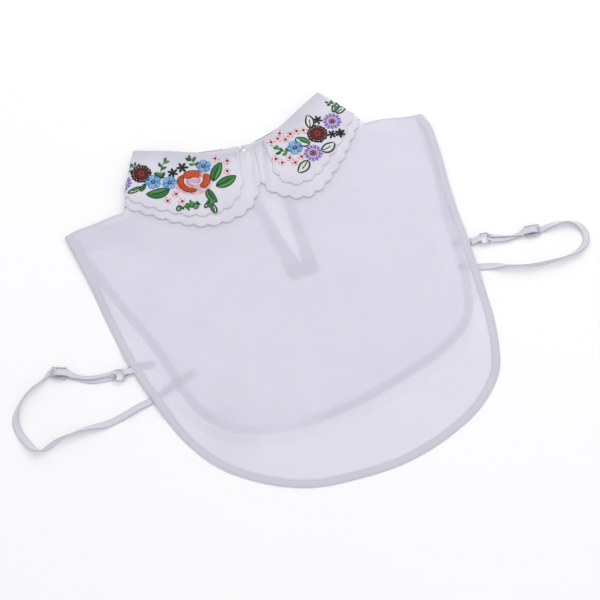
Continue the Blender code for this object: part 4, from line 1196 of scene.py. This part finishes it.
def leaf_motif(mesh, side, base, tip, width, bend, kind):
    """A leaf in slanting stitch with a dark rib and edge. An open one shows the cloth inside its edge, and
    a half one is filled on one side of its rib only."""
    full = kind == "full"
    spine, widths = blade(base, tip, width, bend, 0.9, 0.8, 11)
    quarter = square_to(spine) * widths[:, None] / 4
    ground, dome = ("2d7832", 0.38) if full else ("e3e9e4", 0.1)
    satin(mesh, side, spine, widths, ground, dome, 0.0, 7, "slant")
    if full:
        satin(mesh, side, spine[1:-1] - quarter[1:-1], widths[1:-1] * 0.3, "559a4c", 0.24, 0.2, 4, "slant")
    if kind == "half":
        satin(mesh, side, spine - quarter, widths / 2, "4c8f50", 0.35, 0.1, 5, "slant")
    stem_edges(mesh, side, spine, widths, *((1.1, "123f1b") if full else (1.9, "163f22")), 0.08)
    stem(mesh, side, spine[: 9 if full else 8], 1.35, "0d2413", 0.36 if full else 0.14)


def sprig(mesh, side, line, count, size):
    """A bent stem with small pointed leaves on both sides of it and one at its end."""
    line = curve(line, 6)
    end = 1 - 0.8 * size / length_of(line)
    stem(mesh, side, at_length(line, np.linspace(0, 0.2 + 0.8 * end, 6)), 1.0, "174d27", 0.0)
    tip, base = line[-1], at_length(line, [end])[0]
    twigs = [(base, unit(tip - base), size * 0.8)]
    for number in range(count):
        base, ahead = at_length(line, np.array([0, 0.06]) + (0.08 + number / count) * end)
        way = unit(ahead - base)
        turn = (SPRIG_TURN + SPRIG_UNEVEN * thread_luck.uniform(-1, 1)) * (1 if number % 2 else -1)
        cosine, sine = math.cos(turn), math.sin(turn)
        way = np.array([way[0] * cosine - way[1] * sine, way[0] * sine + way[1] * cosine])
        twigs.append((base, way, size * (1 + SPRIG_UNEVEN * thread_luck.uniform(-1, 1))))
    for number, (base, way, reach) in enumerate(twigs):
        spine, widths = blade(base, base + way * reach, reach * 0.52, 0.08, 1.1, 0.7, 7)
        satin(mesh, side, spine, widths, ("3f8745", "24672f", "5a9c5e")[number % 3], 0.35, 0.05, 5, "slant")
        stem(mesh, side, spine[1:], 0.8, "0f3517", 0.3)
        stem(mesh, side, spine + np.array([-way[1], way[0]]) * widths[:, None] / 2, 0.6, "184a22", 0.1)


ROSE_AT = (194.4, 181.6)
ROSE_REACH = (15.8, 12.1)  # across and up and down the collar as it is seen
ROSE_PETALS = [
    (136, 285, 0.9, 0.8, 5.6, "c2440f"),
    (152, 48, 0.74, 0.68, 8.0, "cd4c10"),
    (52, -52, 0.96, 0.56, 6.4, "c94a10"),
]  # from and to how many degrees and shares of the reach, width, colour
ROSE_FOLDS = [
    (150, 262, 0.62, 0.6, "f6e3e8"), (160, 280, 0.46, 0.4, "b98fa8"), (128, 50, 0.34, 0.36, "f3e4ea"),
    (70, -44, 0.6, 0.3, "f8ecef"), (48, -60, 0.42, 0.2, "c493a6"), (64, 44, 1.0, 0.66, "f1cdd5"),
    (70, 50, 0.98, 0.62, "f1cdd5"), (200, 330, 0.2, 0.3, "f6e3e8"),
]  # the same without a width
ROSE_FRILL = (196, 350, 1.36, 1.08, 12)  # from and to how many degrees and shares, and how many scallops
ROSE_HEART = 0.76


def rose(mesh, side):
    """An open rose: three orange petals round a pink heart, over a pale frill."""
    centre = seen(ROSE_AT)[0]
    axes = seen([(ROSE_AT[0] + 1, ROSE_AT[1]), (ROSE_AT[0], ROSE_AT[1] - 1)]) - centre
    axes = unit(axes) * np.array(ROSE_REACH)[:, None]

    def bow(start, end, share, last_share, count=13):
        turns = np.radians(np.linspace(start, end, count))
        shares = np.linspace(share, last_share, count)[:, None]
        return centre + shares * (np.cos(turns)[:, None] * axes[0] + np.sin(turns)[:, None] * axes[1])

    for number, tip in enumerate(bow(*ROSE_FRILL)):
        base = centre + (tip - centre) * 0.6
        spine, widths = blade(base, tip, 5.2, 0.0, 1.7, 0.55, 7)
        satin(mesh, side, spine, widths, ("efbfca", "e3a7b6")[number % 2], 0.25, 0.04, 6)
        for lean in (-0.22, 0.0, 0.22):
            end = tip + lean * np.array([-(tip - base)[1], (tip - base)[0]])
            stem(mesh, side, [(base + end) / 2, (base + end * 2) / 3, end], 0.5, "f6e0e5", 0.3)
    t = np.linspace(-1, 1, 11)
    heart = centre + axes[0] * t[:, None] * ROSE_HEART
    widths = 2 * ROSE_REACH[1] * ROSE_HEART * np.sqrt(1 - (t * 0.985) ** 2)
    satin(mesh, side, heart, widths, "d6b0c8", 0.2, 0.1, 11, "slant")
    for start, end, share, last_share, colour in ROSE_FOLDS:
        stem(mesh, side, bow(start, end, share, last_share, 7), 1.3, colour, 0.34)
    for start, end, share, last_share, width, colour in ROSE_PETALS:
        spine = bow(start, end, share, last_share)
        t = np.linspace(0, 1, len(spine))
        widths = width * np.clip(np.sin(np.pi * (0.02 + 0.96 * t)) * 1.7, 0.1, 1)
        satin(mesh, side, spine, widths, colour, 0.45, 0.3, 7, "slant")
        stem_edges(mesh, side, spine, widths, 0.9, "5e1a10", 0.36)
        for share in (-0.2, 0.2):
            stem(mesh, side, (spine + square_to(spine) * widths[:, None] * share)[2:-2], 0.5, "e0713a", 0.78)


# places are in the 600-pixel frame and sizes on the garment
BERRY_RADIUS = 4.0
DAHLIAS = {"left": [(141.3, 173.9, 10.0)], "right": [(317.3, 133.8, 10.2)]}
ASTERS = {"left": [(123.0, 182.4, 8.6)], "right": [(332.1, 121.2, 9.2), (313.2, 152.8, 9.5)]}
BLUE_FLOWERS = {
    "left": [(153.2, 181.9, 8.0, 0.3), (169.6, 182.6, 7.6, 0.9), (203.6, 166.2, 7.4, 0.1)],
    "right": [(294.8, 147.6, 8.0, 0.5)],
}
DARK_STARS = {
    "left": [(172.6, 172.8, 5.6, 0.35), (182.2, 167.6, 6.0, 0.75)],
    "right": [(317.4, 119.8, 5.2, 0.5), (332.0, 134.0, 5.0, 0.9), (340.2, 132.6, 5.4, 0.3)],
}
BERRIES = {
    "left": [(215.6, 158.8), (226.9, 161.2), (227.2, 171.5), (175.6, 194.0), (167.7, 200.3), (181.7, 201.2)],
    "right": [(270.9, 142.6), (277.9, 139.1), (280.0, 133.0), (285.9, 139.3), (290.4, 134.4), (296.6, 131.6),
              (304.0, 130.4), (275.5, 158.6), (281.9, 162.5), (289.3, 158.0), (294.8, 162.4), (301.2, 156.5)],
}
LEAF_MOTIFS = {
    "left": [
        ((169.6, 188.9), (145.8, 194.0), 10.6, 0.1, "full"),
        ((212.9, 181.4), (221.3, 161.6), 9.6, 0.04, "full"),
        ((215.8, 185.8), (236.0, 175.4), 10.8, -0.05, "full"),
        ((207.4, 188.2), (217.6, 202.2), 7.6, -0.1, "full"),
        ((141.2, 186.6), (127.6, 192.6), 4.4, 0.05, "half"),
        ((164.0, 177.4), (154.2, 172.8), 3.6, 0.12, "full"),
        ((145.0, 183.6), (140.2, 191.6), 4.0, 0.05, "full"),
        ((211.6, 204.2), (216.4, 213.0), 4.6, 0.0, "half"),
        ((180.2, 205.2), (177.6, 211.0), 3.6, 0.0, "open"),
        ((209.6, 201.6), (204.6, 207.8), 3.2, 0.0, "open"),
    ],
    "right": [
        ((309.9, 128.0), (307.0, 115.0), 8.0, -0.08, "open"),
        ((321.4, 150.2), (334.2, 142.2), 9.6, -0.1, "open"),
        ((308.0, 160.0), (298.2, 172.4), 9.4, 0.06, "open"),
        ((310.2, 143.8), (295.2, 138.0), 9.4, 0.06, "half"),
        ((333.0, 112.4), (339.0, 103.4), 5.4, 0.05, "half"),
        ((336.6, 113.4), (345.6, 107.2), 6.4, 0.1, "open"),
    ],
}  # base, tip, width, bend, kind
SPRIGS = {
    "left": [([(139.0, 169.0), (134.4, 165.2), (130.2, 163.8)], 3, 5.4),
             ([(131.0, 174.0), (129.6, 168.4), (131.0, 162.0)], 3, 5.0),
             ([(164.2, 178.4), (160.8, 170.8), (163.2, 163.8), (166.8, 157.6)], 5, 6.6),
             ([(197.0, 167.0), (193.0, 161.6), (188.8, 154.6)], 4, 6.4),
             ([(201.6, 204.4), (194.6, 204.6), (185.6, 203.2)], 6, 6.0),
             ([(179.6, 206.8), (184.4, 207.0), (189.6, 210.4)], 2, 5.0),
             ([(208.4, 199.0), (210.8, 203.0), (214.4, 205.4)], 3, 5.6)],
    "right": [([(340.0, 104.8), (333.0, 103.4), (324.6, 101.4)], 4, 5.8),
              ([(291.0, 150.6), (282.0, 151.0), (273.6, 146.4)], 5, 6.0)],
}
for side in SIDES:
    mesh = cloth_mesh()
    for line, count, size in SPRIGS[side]:
        sprig(mesh, side, seen(line), count, size)
    for base, tip, width, bend, kind in LEAF_MOTIFS[side]:
        leaf_motif(mesh, side, seen(base)[0], seen(tip)[0], width, bend, kind)
    for x, y in BERRIES[side]:
        berry(mesh, side, seen((x, y))[0], BERRY_RADIUS, x)
    for x, y, radius in ASTERS[side]:
        ringed_flower(mesh, side, seen((x, y))[0], radius, "cdbde8", 0.08, ASTER)
    for x, y, radius, phase in BLUE_FLOWERS[side]:
        blue_flower(mesh, side, seen((x, y))[0], radius, phase)
    if side == "left":
        rose(mesh, side)
    for x, y, radius, phase in DARK_STARS[side]:
        dark_star(mesh, side, seen((x, y))[0], radius, phase)
    for x, y, radius in DAHLIAS[side]:
        ringed_flower(mesh, side, seen((x, y))[0], radius, "16040a", 0.1, DAHLIA)
    stitched = settle(f"embroidery_{side}", mesh, embroidery_thread, "organza")
    piece, bound = upper_leaves[side]

# Pearl button and its loop: a round imitation pearl sewn to one edge of the neck band at the centre back,
# and a thin round cord from the other edge that goes over it.
BUTTON_AT = (8.0, 171.5)
BUTTON_RADIUS = 2.2
LOOP_RADIUS = 3.1
LOOP_CORD = 0.45
LOOP_FROM, LOOP_TO = 10, 340  # degrees
LOOP_UNEVEN = 0.05
LUSTRE_CLOUDS = 1.67
BAND_TOP = FOLD_MIDDLE - STAND_RADIUS + 0.8

# a pearl lustre: a clear coat over a body that turns cooler towards its rim, unevenly
pearl, tree, shader = finish_of(
    "Imitation pearl, lacquered plastic", Roughness=0.2, Coat_Weight=0.6, Coat_Roughness=0.08,
    Sheen_Weight=0.2,
)
turned_away = add(tree, "ShaderNodeLayerWeight", {"Blend": 0.35}).outputs["Facing"]
spots = add(tree, "ShaderNodeTexCoord").outputs["Object"]
cloud = add(tree, "ShaderNodeTexNoise", {"Vector": spots, "Scale": clouds(LUSTRE_CLOUDS)}).outputs["Fac"]
mixed = add(tree, "ShaderNodeMath", {0: turned_away, 1: cloud}, operation="MULTIPLY").outputs[0]
tones = {"Factor": mixed, 6: linear("fbfaf8"), 7: linear("d6d0dc")}
tint = add(tree, "ShaderNodeMix", tones, data_type="RGBA")
tree.links.new(tint.outputs[2], shader.inputs["Base Color"])
mesh = cloth_mesh()
bmesh.ops.create_uvsphere(mesh, u_segments=28, v_segments=18, radius=BUTTON_RADIUS * MM)
bmesh.ops.translate(mesh, vec=world((*BUTTON_AT, BAND_TOP + BUTTON_RADIUS)), verts=mesh.verts)
button = settle("pearl", mesh, pearl, "pearl", "pearl_button")

turns = np.radians(np.linspace(LOOP_FROM, LOOP_TO, 45))
points = np.array(BUTTON_AT) + LOOP_RADIUS * np.column_stack([np.cos(turns), np.sin(turns)])
points = np.column_stack([points, np.full(len(points), BAND_TOP + LOOP_CORD)])
mesh = cloth_mesh()
tube(mesh, points, LOOP_CORD + LOOP_UNEVEN * np.sin(np.arange(len(points)) * 2.1), 10)
seal(mesh)
loop = settle("loop_of_cord", mesh, edge_thread, "elastic", "button_loop")

# Straps: white elastic tape. Each runs from the back's hem in a loop to the slider, over its bars, round
# the ring and back to the slider's middle bar, where it is sewn. A short tab ties the ring to the hem.
STRAP_WIDTH = 6.6
BAND_WALL = 0.6
LYING_GAP = 0.15
HEM_CLIMB = 1.8
CLIMB_RAMP = (2.0, 9.0)
RIG_HEIGHT = 2.2
SLIDER_AT = {"left": (-240, 11), "right": (238.5, -14)}
RING_AT = {"left": (-187.5, -12.5), "right": (191.5, -5)}
DOUBLED_BOW = {"left": -5.2, "right": 2.8}
DOUBLED_SPREAD = {"left": 0.6, "right": 0.0}
RING_SPREAD = {"left": 2.2, "right": 2.9}
ON_EDGE = {"left": 0, "right": 50}  # how many degrees the lower ply stands up
DOUBLED_ENDS = (6.0, 5.0)
DOUBLED_TOP = 2.0
RING_HALF = (4.7, 5.6)
RING_CORNER = 3.0
RING_WIRE = 0.9
RING_WRAP = 1.7
BAR_WRAP = 1.65
RUN_TOP = RIG_HEIGHT + BAR_WRAP + 1.3
RUN_CLIMB = (-1.18, -0.8, -0.45, -0.22, 0.0)
RUN_FALL = ((0.6, RUN_TOP - 0.45), (1.1, RIG_HEIGHT + 1.7))
NARROWED = 0.54
NARROWS_IN = 15.0
SLIDER_HALF = (7.4, 6.0)
SLIDER_BAR = 1.2
SLIDER_WINDOW = (3.4, 1.5)  # how far a window's middle is from the slider's, and within how much it is found
SLIDER_CORNER = 1.6
SLIDER_ROUNDING = 0.3
SLIDER_SHARP = 1.2  # radians
TAPE_SIDE_SHADE = 0.5  # painted shade: how much deeper the tape looks along its sides
RIB_PITCH, PICK_PITCH = 1.1, 1.0
FLOW_CLOUDS = 4.55
LYING_STEP = 5.0
TAB_WIRE = 5.2  # the ring's wire from its middle, where the tab goes round it
TAB_END = {"left": ((3.5, 3.0, 1.0), (8.5, 1.9, 2.2)), "right": ((3.5, 3.0, 0.8), (8.5, 1.9, 1.4))}
TAB_NARROWS = (0.5, 1.0)
TAB_NARROWED = 0.96

# elastic is woven over rubber threads: ribs along it and tighter picks across, real ones 0.7 mm apart
elastic, tree, shader = finish_of("White elastic tape, woven nylon", Roughness=0.5, Sheen_Weight=0.2)
lines = add(tree, "ShaderNodeAttribute", attribute_name="weave").outputs["Vector"]
shade = add(tree, "ShaderNodeAttribute", attribute_name="shade").outputs["Fac"]
ribs, picks = (
    add(tree, "ShaderNodeTexWave", {"Vector": lines, "Scale": waves(pitch)}, bands_direction=way)
    for pitch, way in ((RIB_PITCH, "Y"), (PICK_PITCH, "X"))
)
terms = {0: ribs.outputs["Fac"], 1: 0.6, 2: picks.outputs["Fac"]}
weave = add(tree, "ShaderNodeMath", terms, operation="MULTIPLY_ADD").outputs[0]
uneven = add(tree, "ShaderNodeMath", {0: weave, 1: 0.16, 2: shade}, operation="MULTIPLY_ADD", use_clamp=True)
tones = {"Factor": uneven.outputs[0], 6: linear("dad8e2"), 7: linear("a09eac")}
tint = add(tree, "ShaderNodeMix", tones, data_type="RGBA")
tree.links.new(tint.outputs[2], shader.inputs["Base Color"])
bump = add(tree, "ShaderNodeBump", {"Height": weave, "Strength": 0.25, "Distance": 0.0002})
tree.links.new(bump.outputs["Normal"], shader.inputs["Normal"])

# moulded nylon: clear white and glossy, greyer where it is seen thick, towards its rims, with the faint flow
# of the mould; that grey is painted shade
nylon, tree, shader = finish_of(
    "Clear white nylon, injection moulded", Roughness=0.2, IOR=1.53, Coat_Weight=0.3, Alpha=0.84
)
spots = add(tree, "ShaderNodeTexCoord").outputs["Object"]
flow = add(tree, "ShaderNodeTexNoise", {"Vector": spots, "Scale": clouds(FLOW_CLOUDS)}).outputs["Fac"]
turned_away = add(tree, "ShaderNodeLayerWeight", {"Blend": 0.45}).outputs["Facing"]
terms = {0: flow, 1: 0.3, 2: turned_away}
mixed = add(tree, "ShaderNodeMath", terms, operation="MULTIPLY_ADD", use_clamp=True)
tones = {"Factor": mixed.outputs[0], 6: linear("d8d8de"), 7: linear("85858d")}
tint = add(tree, "ShaderNodeMix", tones, data_type="RGBA")
tree.links.new(tint.outputs[2], shader.inputs["Base Color"])


def rig(side):
    """The slider's middle, the way to the ring, the way across, and how far the ring is."""
    start, end = np.array(SLIDER_AT[side]), np.array(RING_AT[side])
    along = unit(end - start)
    return start, along, np.array([-along[1], along[0]]), np.linalg.norm(end - start)


def arc(middle, radius, start, end, steps):
    """Points (along, height) on an arc, whose angles run in degrees from straight up towards the ring."""
    turns = np.radians(np.linspace(start, end, steps))
    return [(middle + radius * math.sin(turn), RIG_HEIGHT + radius * math.cos(turn)) for turn in turns]


def lying(route):
    """Middles of a band that lies on the paper and climbs over the back's hem, and its way across."""
    line = curve(route)
    line = at_length(line, np.linspace(0, 1, round(length_of(line) / LYING_STEP)))
    tangent = unit(np.gradient(line[:, :2], axis=0))
    roll = np.radians(line[:, 2])
    way = np.column_stack([-tangent[:, 1] * np.cos(roll), tangent[:, 0] * np.cos(roll), np.sin(roll)])
    height = STRAP_WIDTH / 2 * np.abs(np.sin(roll)) + HALF_WALL * np.abs(np.cos(roll)) + LYING_GAP
    climb = HEM_CLIMB * (1 - smooth_step(CLIMB_RAMP, outside(line[:, :2], BACK_OUTLINE)))
    return np.column_stack([line[:, :2], height + climb]), way


def band(name, node, middles, ways, widths):
    """Flat elastic along middles, each with its way across and its width, and with painted shade along both
    its sides.
    """
    line = curve(np.column_stack([middles, ways, widths]), 6, 3)
    middles, ways, widths = line[:, :3], unit(line[:, 3:6]), line[:, 6]
    reach = np.array([-1, -0.93, -0.5, 0, 0.5, 0.93, 1.0])
    points = middles[:, None] + ways[:, None] * reach[None, :, None] * widths[:, None, None] / 2
    run = np.concatenate([[0], np.cumsum(np.linalg.norm(np.diff(middles, axis=0), axis=1))])
    across = reach[None] * np.full((len(run), 1), STRAP_WIDTH / 2)
    weave = np.dstack([run[:, None] + 0 * across, across, 0 * across]) * MM
    mesh = cloth_mesh()
    lay(mesh, points, shade=TAPE_SIDE_SHADE * np.abs(reach[None]) ** 10 + 0 * across, weave=weave)
    return settle(name, mesh, elastic, "elastic", node, wall=BAND_WALL)


for side in SIDES:
    middles, ways = lying(STRAP_ROUTE[side])
    start, along, across, reach = rig(side)
    bar = SLIDER_HALF[0] - SLIDER_BAR / 2
    far_wire = reach - RING_HALF[0]
    low = HALF_WALL + LYING_GAP
    # over both bars of the slider: along, height, aside, share of the width, degrees that it stands up
    rows = []
    for share in RUN_CLIMB:
        rise = math.cos(math.pi / 2 * min(1.0, -share)) ** 2
        rows.append((bar * share, low + (RUN_TOP - low) * rise, 0.0, 1.0, 0.0))
    rows += [(bar * share, level, 0.0, 1.0, 0.0) for share, level in RUN_FALL]
    # along the doubled stretch, round the ring's wire, back below it and over the slider's middle bar
    stations = np.linspace(bar + DOUBLED_ENDS[0], far_wire - DOUBLED_ENDS[1], 9)
    narrow = 1 - (1 - NARROWED) * smooth_step((bar, bar + NARROWS_IN), stations)
    swing = np.sin(np.pi * stations / reach) ** 2
    near_ring = smooth_step((bar, far_wire), stations)
    upper = swing * (DOUBLED_BOW[side] + DOUBLED_SPREAD[side]) + RING_SPREAD[side] * near_ring
    lower = swing * (DOUBLED_BOW[side] - DOUBLED_SPREAD[side]) - RING_SPREAD[side] * near_ring
    rows += [(spot, DOUBLED_TOP, aside, width, 0.0) for spot, aside, width in zip(stations, upper, narrow)]
    wrap = arc(far_wire, RING_WRAP, 0, 180, 7)
    asides = np.linspace(RING_SPREAD[side], -RING_SPREAD[side], 7)
    rows += [(spot, level, aside, NARROWED, 0.0) for (spot, level), aside in zip(wrap, asides)]
    stands = ON_EDGE[side] * swing
    levels = HALF_WALL + STRAP_WIDTH / 2 * narrow * np.sin(np.radians(stands))
    rows += list(zip(stations, levels, lower, narrow, stands))[::-1]
    rows.append((bar, HALF_WALL, 0.0, 1.0, 0.0))
    rows += [(spot, level, 0.0, 1.0, 0.0) for spot, level in arc(0.0, BAR_WRAP, 180, 380, 9)]
    points, stood = [], []
    for spot, level, aside, _, stands in rows:
        points.append((*(start + along * spot + across * aside), level))
        lean = math.radians(stands)
        stood.append((*(across * math.cos(lean)), math.sin(lean)))
    widths = STRAP_WIDTH * np.array([1.0] * len(middles) + [row[3] for row in rows])
    middles, ways = np.vstack([middles, points]), np.vstack([ways, stood])
    band(f"strap_elastic_{side}", f"strap_{side}", middles, ways, widths)

    # the tab, from the hem round the near side of the ring's wire and back on itself
    middles, ways = lying([(*point, 0) for point in TAB_ROUTE[side]])
    ring_middle = start + along * reach
    back_to_hem = unit(middles[-1, :2] - ring_middle)
    square = np.array([-back_to_hem[1], back_to_hem[0]])
    rows = [(spot, level, 0.0) for spot, level in arc(TAB_WIRE, RING_WRAP, 180, 360, 7)]
    rows += [(TAB_WIRE + past, level, aside) for past, level, aside in TAB_END[side]]
    towards_hem = -np.sign(square[1])
    points = [(*(ring_middle + back_to_hem * spot + square * aside * towards_hem), level)
              for spot, level, aside in rows]
    if (ways[-1, :2] * square).sum() < 0:
        ways = -ways
    narrow = 1 - (1 - TAB_NARROWED) * smooth_step(TAB_NARROWS, np.linspace(0, 1, len(middles)))
    widths = STRAP_WIDTH * np.concatenate([narrow, [TAB_NARROWED] * len(points)])
    ways = np.vstack([ways, [(*square, 0.0)] * len(points)])
    band(f"tab_elastic_{side}", f"strap_tab_{side}", np.vstack([middles, points]), ways, widths)

    # the ring is a round wire bent to a square with round corners
    points = []
    for quarter, (turn_x, turn_y) in enumerate(((1, 1), (-1, 1), (-1, -1), (1, -1))):
        for angle in np.radians(np.linspace(0, 90, 9) + 90 * quarter):
            spot = turn_x * (RING_HALF[0] - RING_CORNER) + RING_CORNER * math.cos(angle)
            aside = turn_y * (RING_HALF[1] - RING_CORNER) + RING_CORNER * math.sin(angle)
            points.append((*(start + along * (reach + spot) + across * aside), RIG_HEIGHT))
    mesh = cloth_mesh()
    tube(mesh, points, RING_WIRE, 14, closed=True)
    seal(mesh)
    settle(f"ring_{side}", mesh, nylon, "nylon", f"strap_ring_{side}")

    # the slider is one flat moulding: a frame with a bar across its middle
    mesh = cloth_mesh()
    lines_x = [-SLIDER_HALF[0], -SLIDER_HALF[0] + SLIDER_BAR, -SLIDER_BAR / 2, SLIDER_BAR / 2,
               SLIDER_HALF[0] - SLIDER_BAR, SLIDER_HALF[0]]
    lines_y = [-SLIDER_HALF[1], -SLIDER_HALF[1] + SLIDER_BAR, SLIDER_HALF[1] - SLIDER_BAR, SLIDER_HALF[1]]
    bmesh.ops.create_grid(mesh, x_segments=5, y_segments=3, size=0.5)
    for point in mesh.verts:
        x, y = lines_x[round((point.co.x + 0.5) * 5)], lines_y[round((point.co.y + 0.5) * 3)]
        point.co = (x * MM, y * MM, -SLIDER_BAR / 2 * MM)
    windows = []
    for face in mesh.faces:
        x, y, _ = face.calc_center_median() / MM
        if abs(abs(x) - SLIDER_WINDOW[0]) < SLIDER_WINDOW[1] and abs(y) < 1:
            windows.append(face)
    bmesh.ops.delete(mesh, geom=windows, context="FACES")
    corners = [point for point in mesh.verts if len(point.link_edges) == 2]
    rounding = {"profile": 0.5, "material": -1}
    bmesh.ops.bevel(mesh, geom=corners, offset=SLIDER_CORNER * MM, segments=4, affect="VERTICES", **rounding)
    raised = bmesh.ops.extrude_face_region(mesh, geom=mesh.faces[:])["geom"]
    raised = [point for point in raised if isinstance(point, bmesh.types.BMVert)]
    bmesh.ops.translate(mesh, vec=(0, 0, SLIDER_BAR * MM), verts=raised)
    mesh.normal_update()
    bmesh.ops.recalc_face_normals(mesh, faces=mesh.faces[:])
    sharp = [edge for edge in mesh.edges if edge.is_manifold and edge.calc_face_angle() > SLIDER_SHARP]
    bmesh.ops.bevel(mesh, geom=sharp, offset=SLIDER_ROUNDING * MM, segments=3, affect="EDGES", **rounding)
    for point in mesh.verts:
        flat = start + along * point.co.x / MM + across * point.co.y / MM
        point.co = world((*flat, RIG_HEIGHT + point.co.z / MM))
    settle(f"slider_{side}", mesh, nylon, "nylon", f"strap_slider_{side}")

low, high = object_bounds()
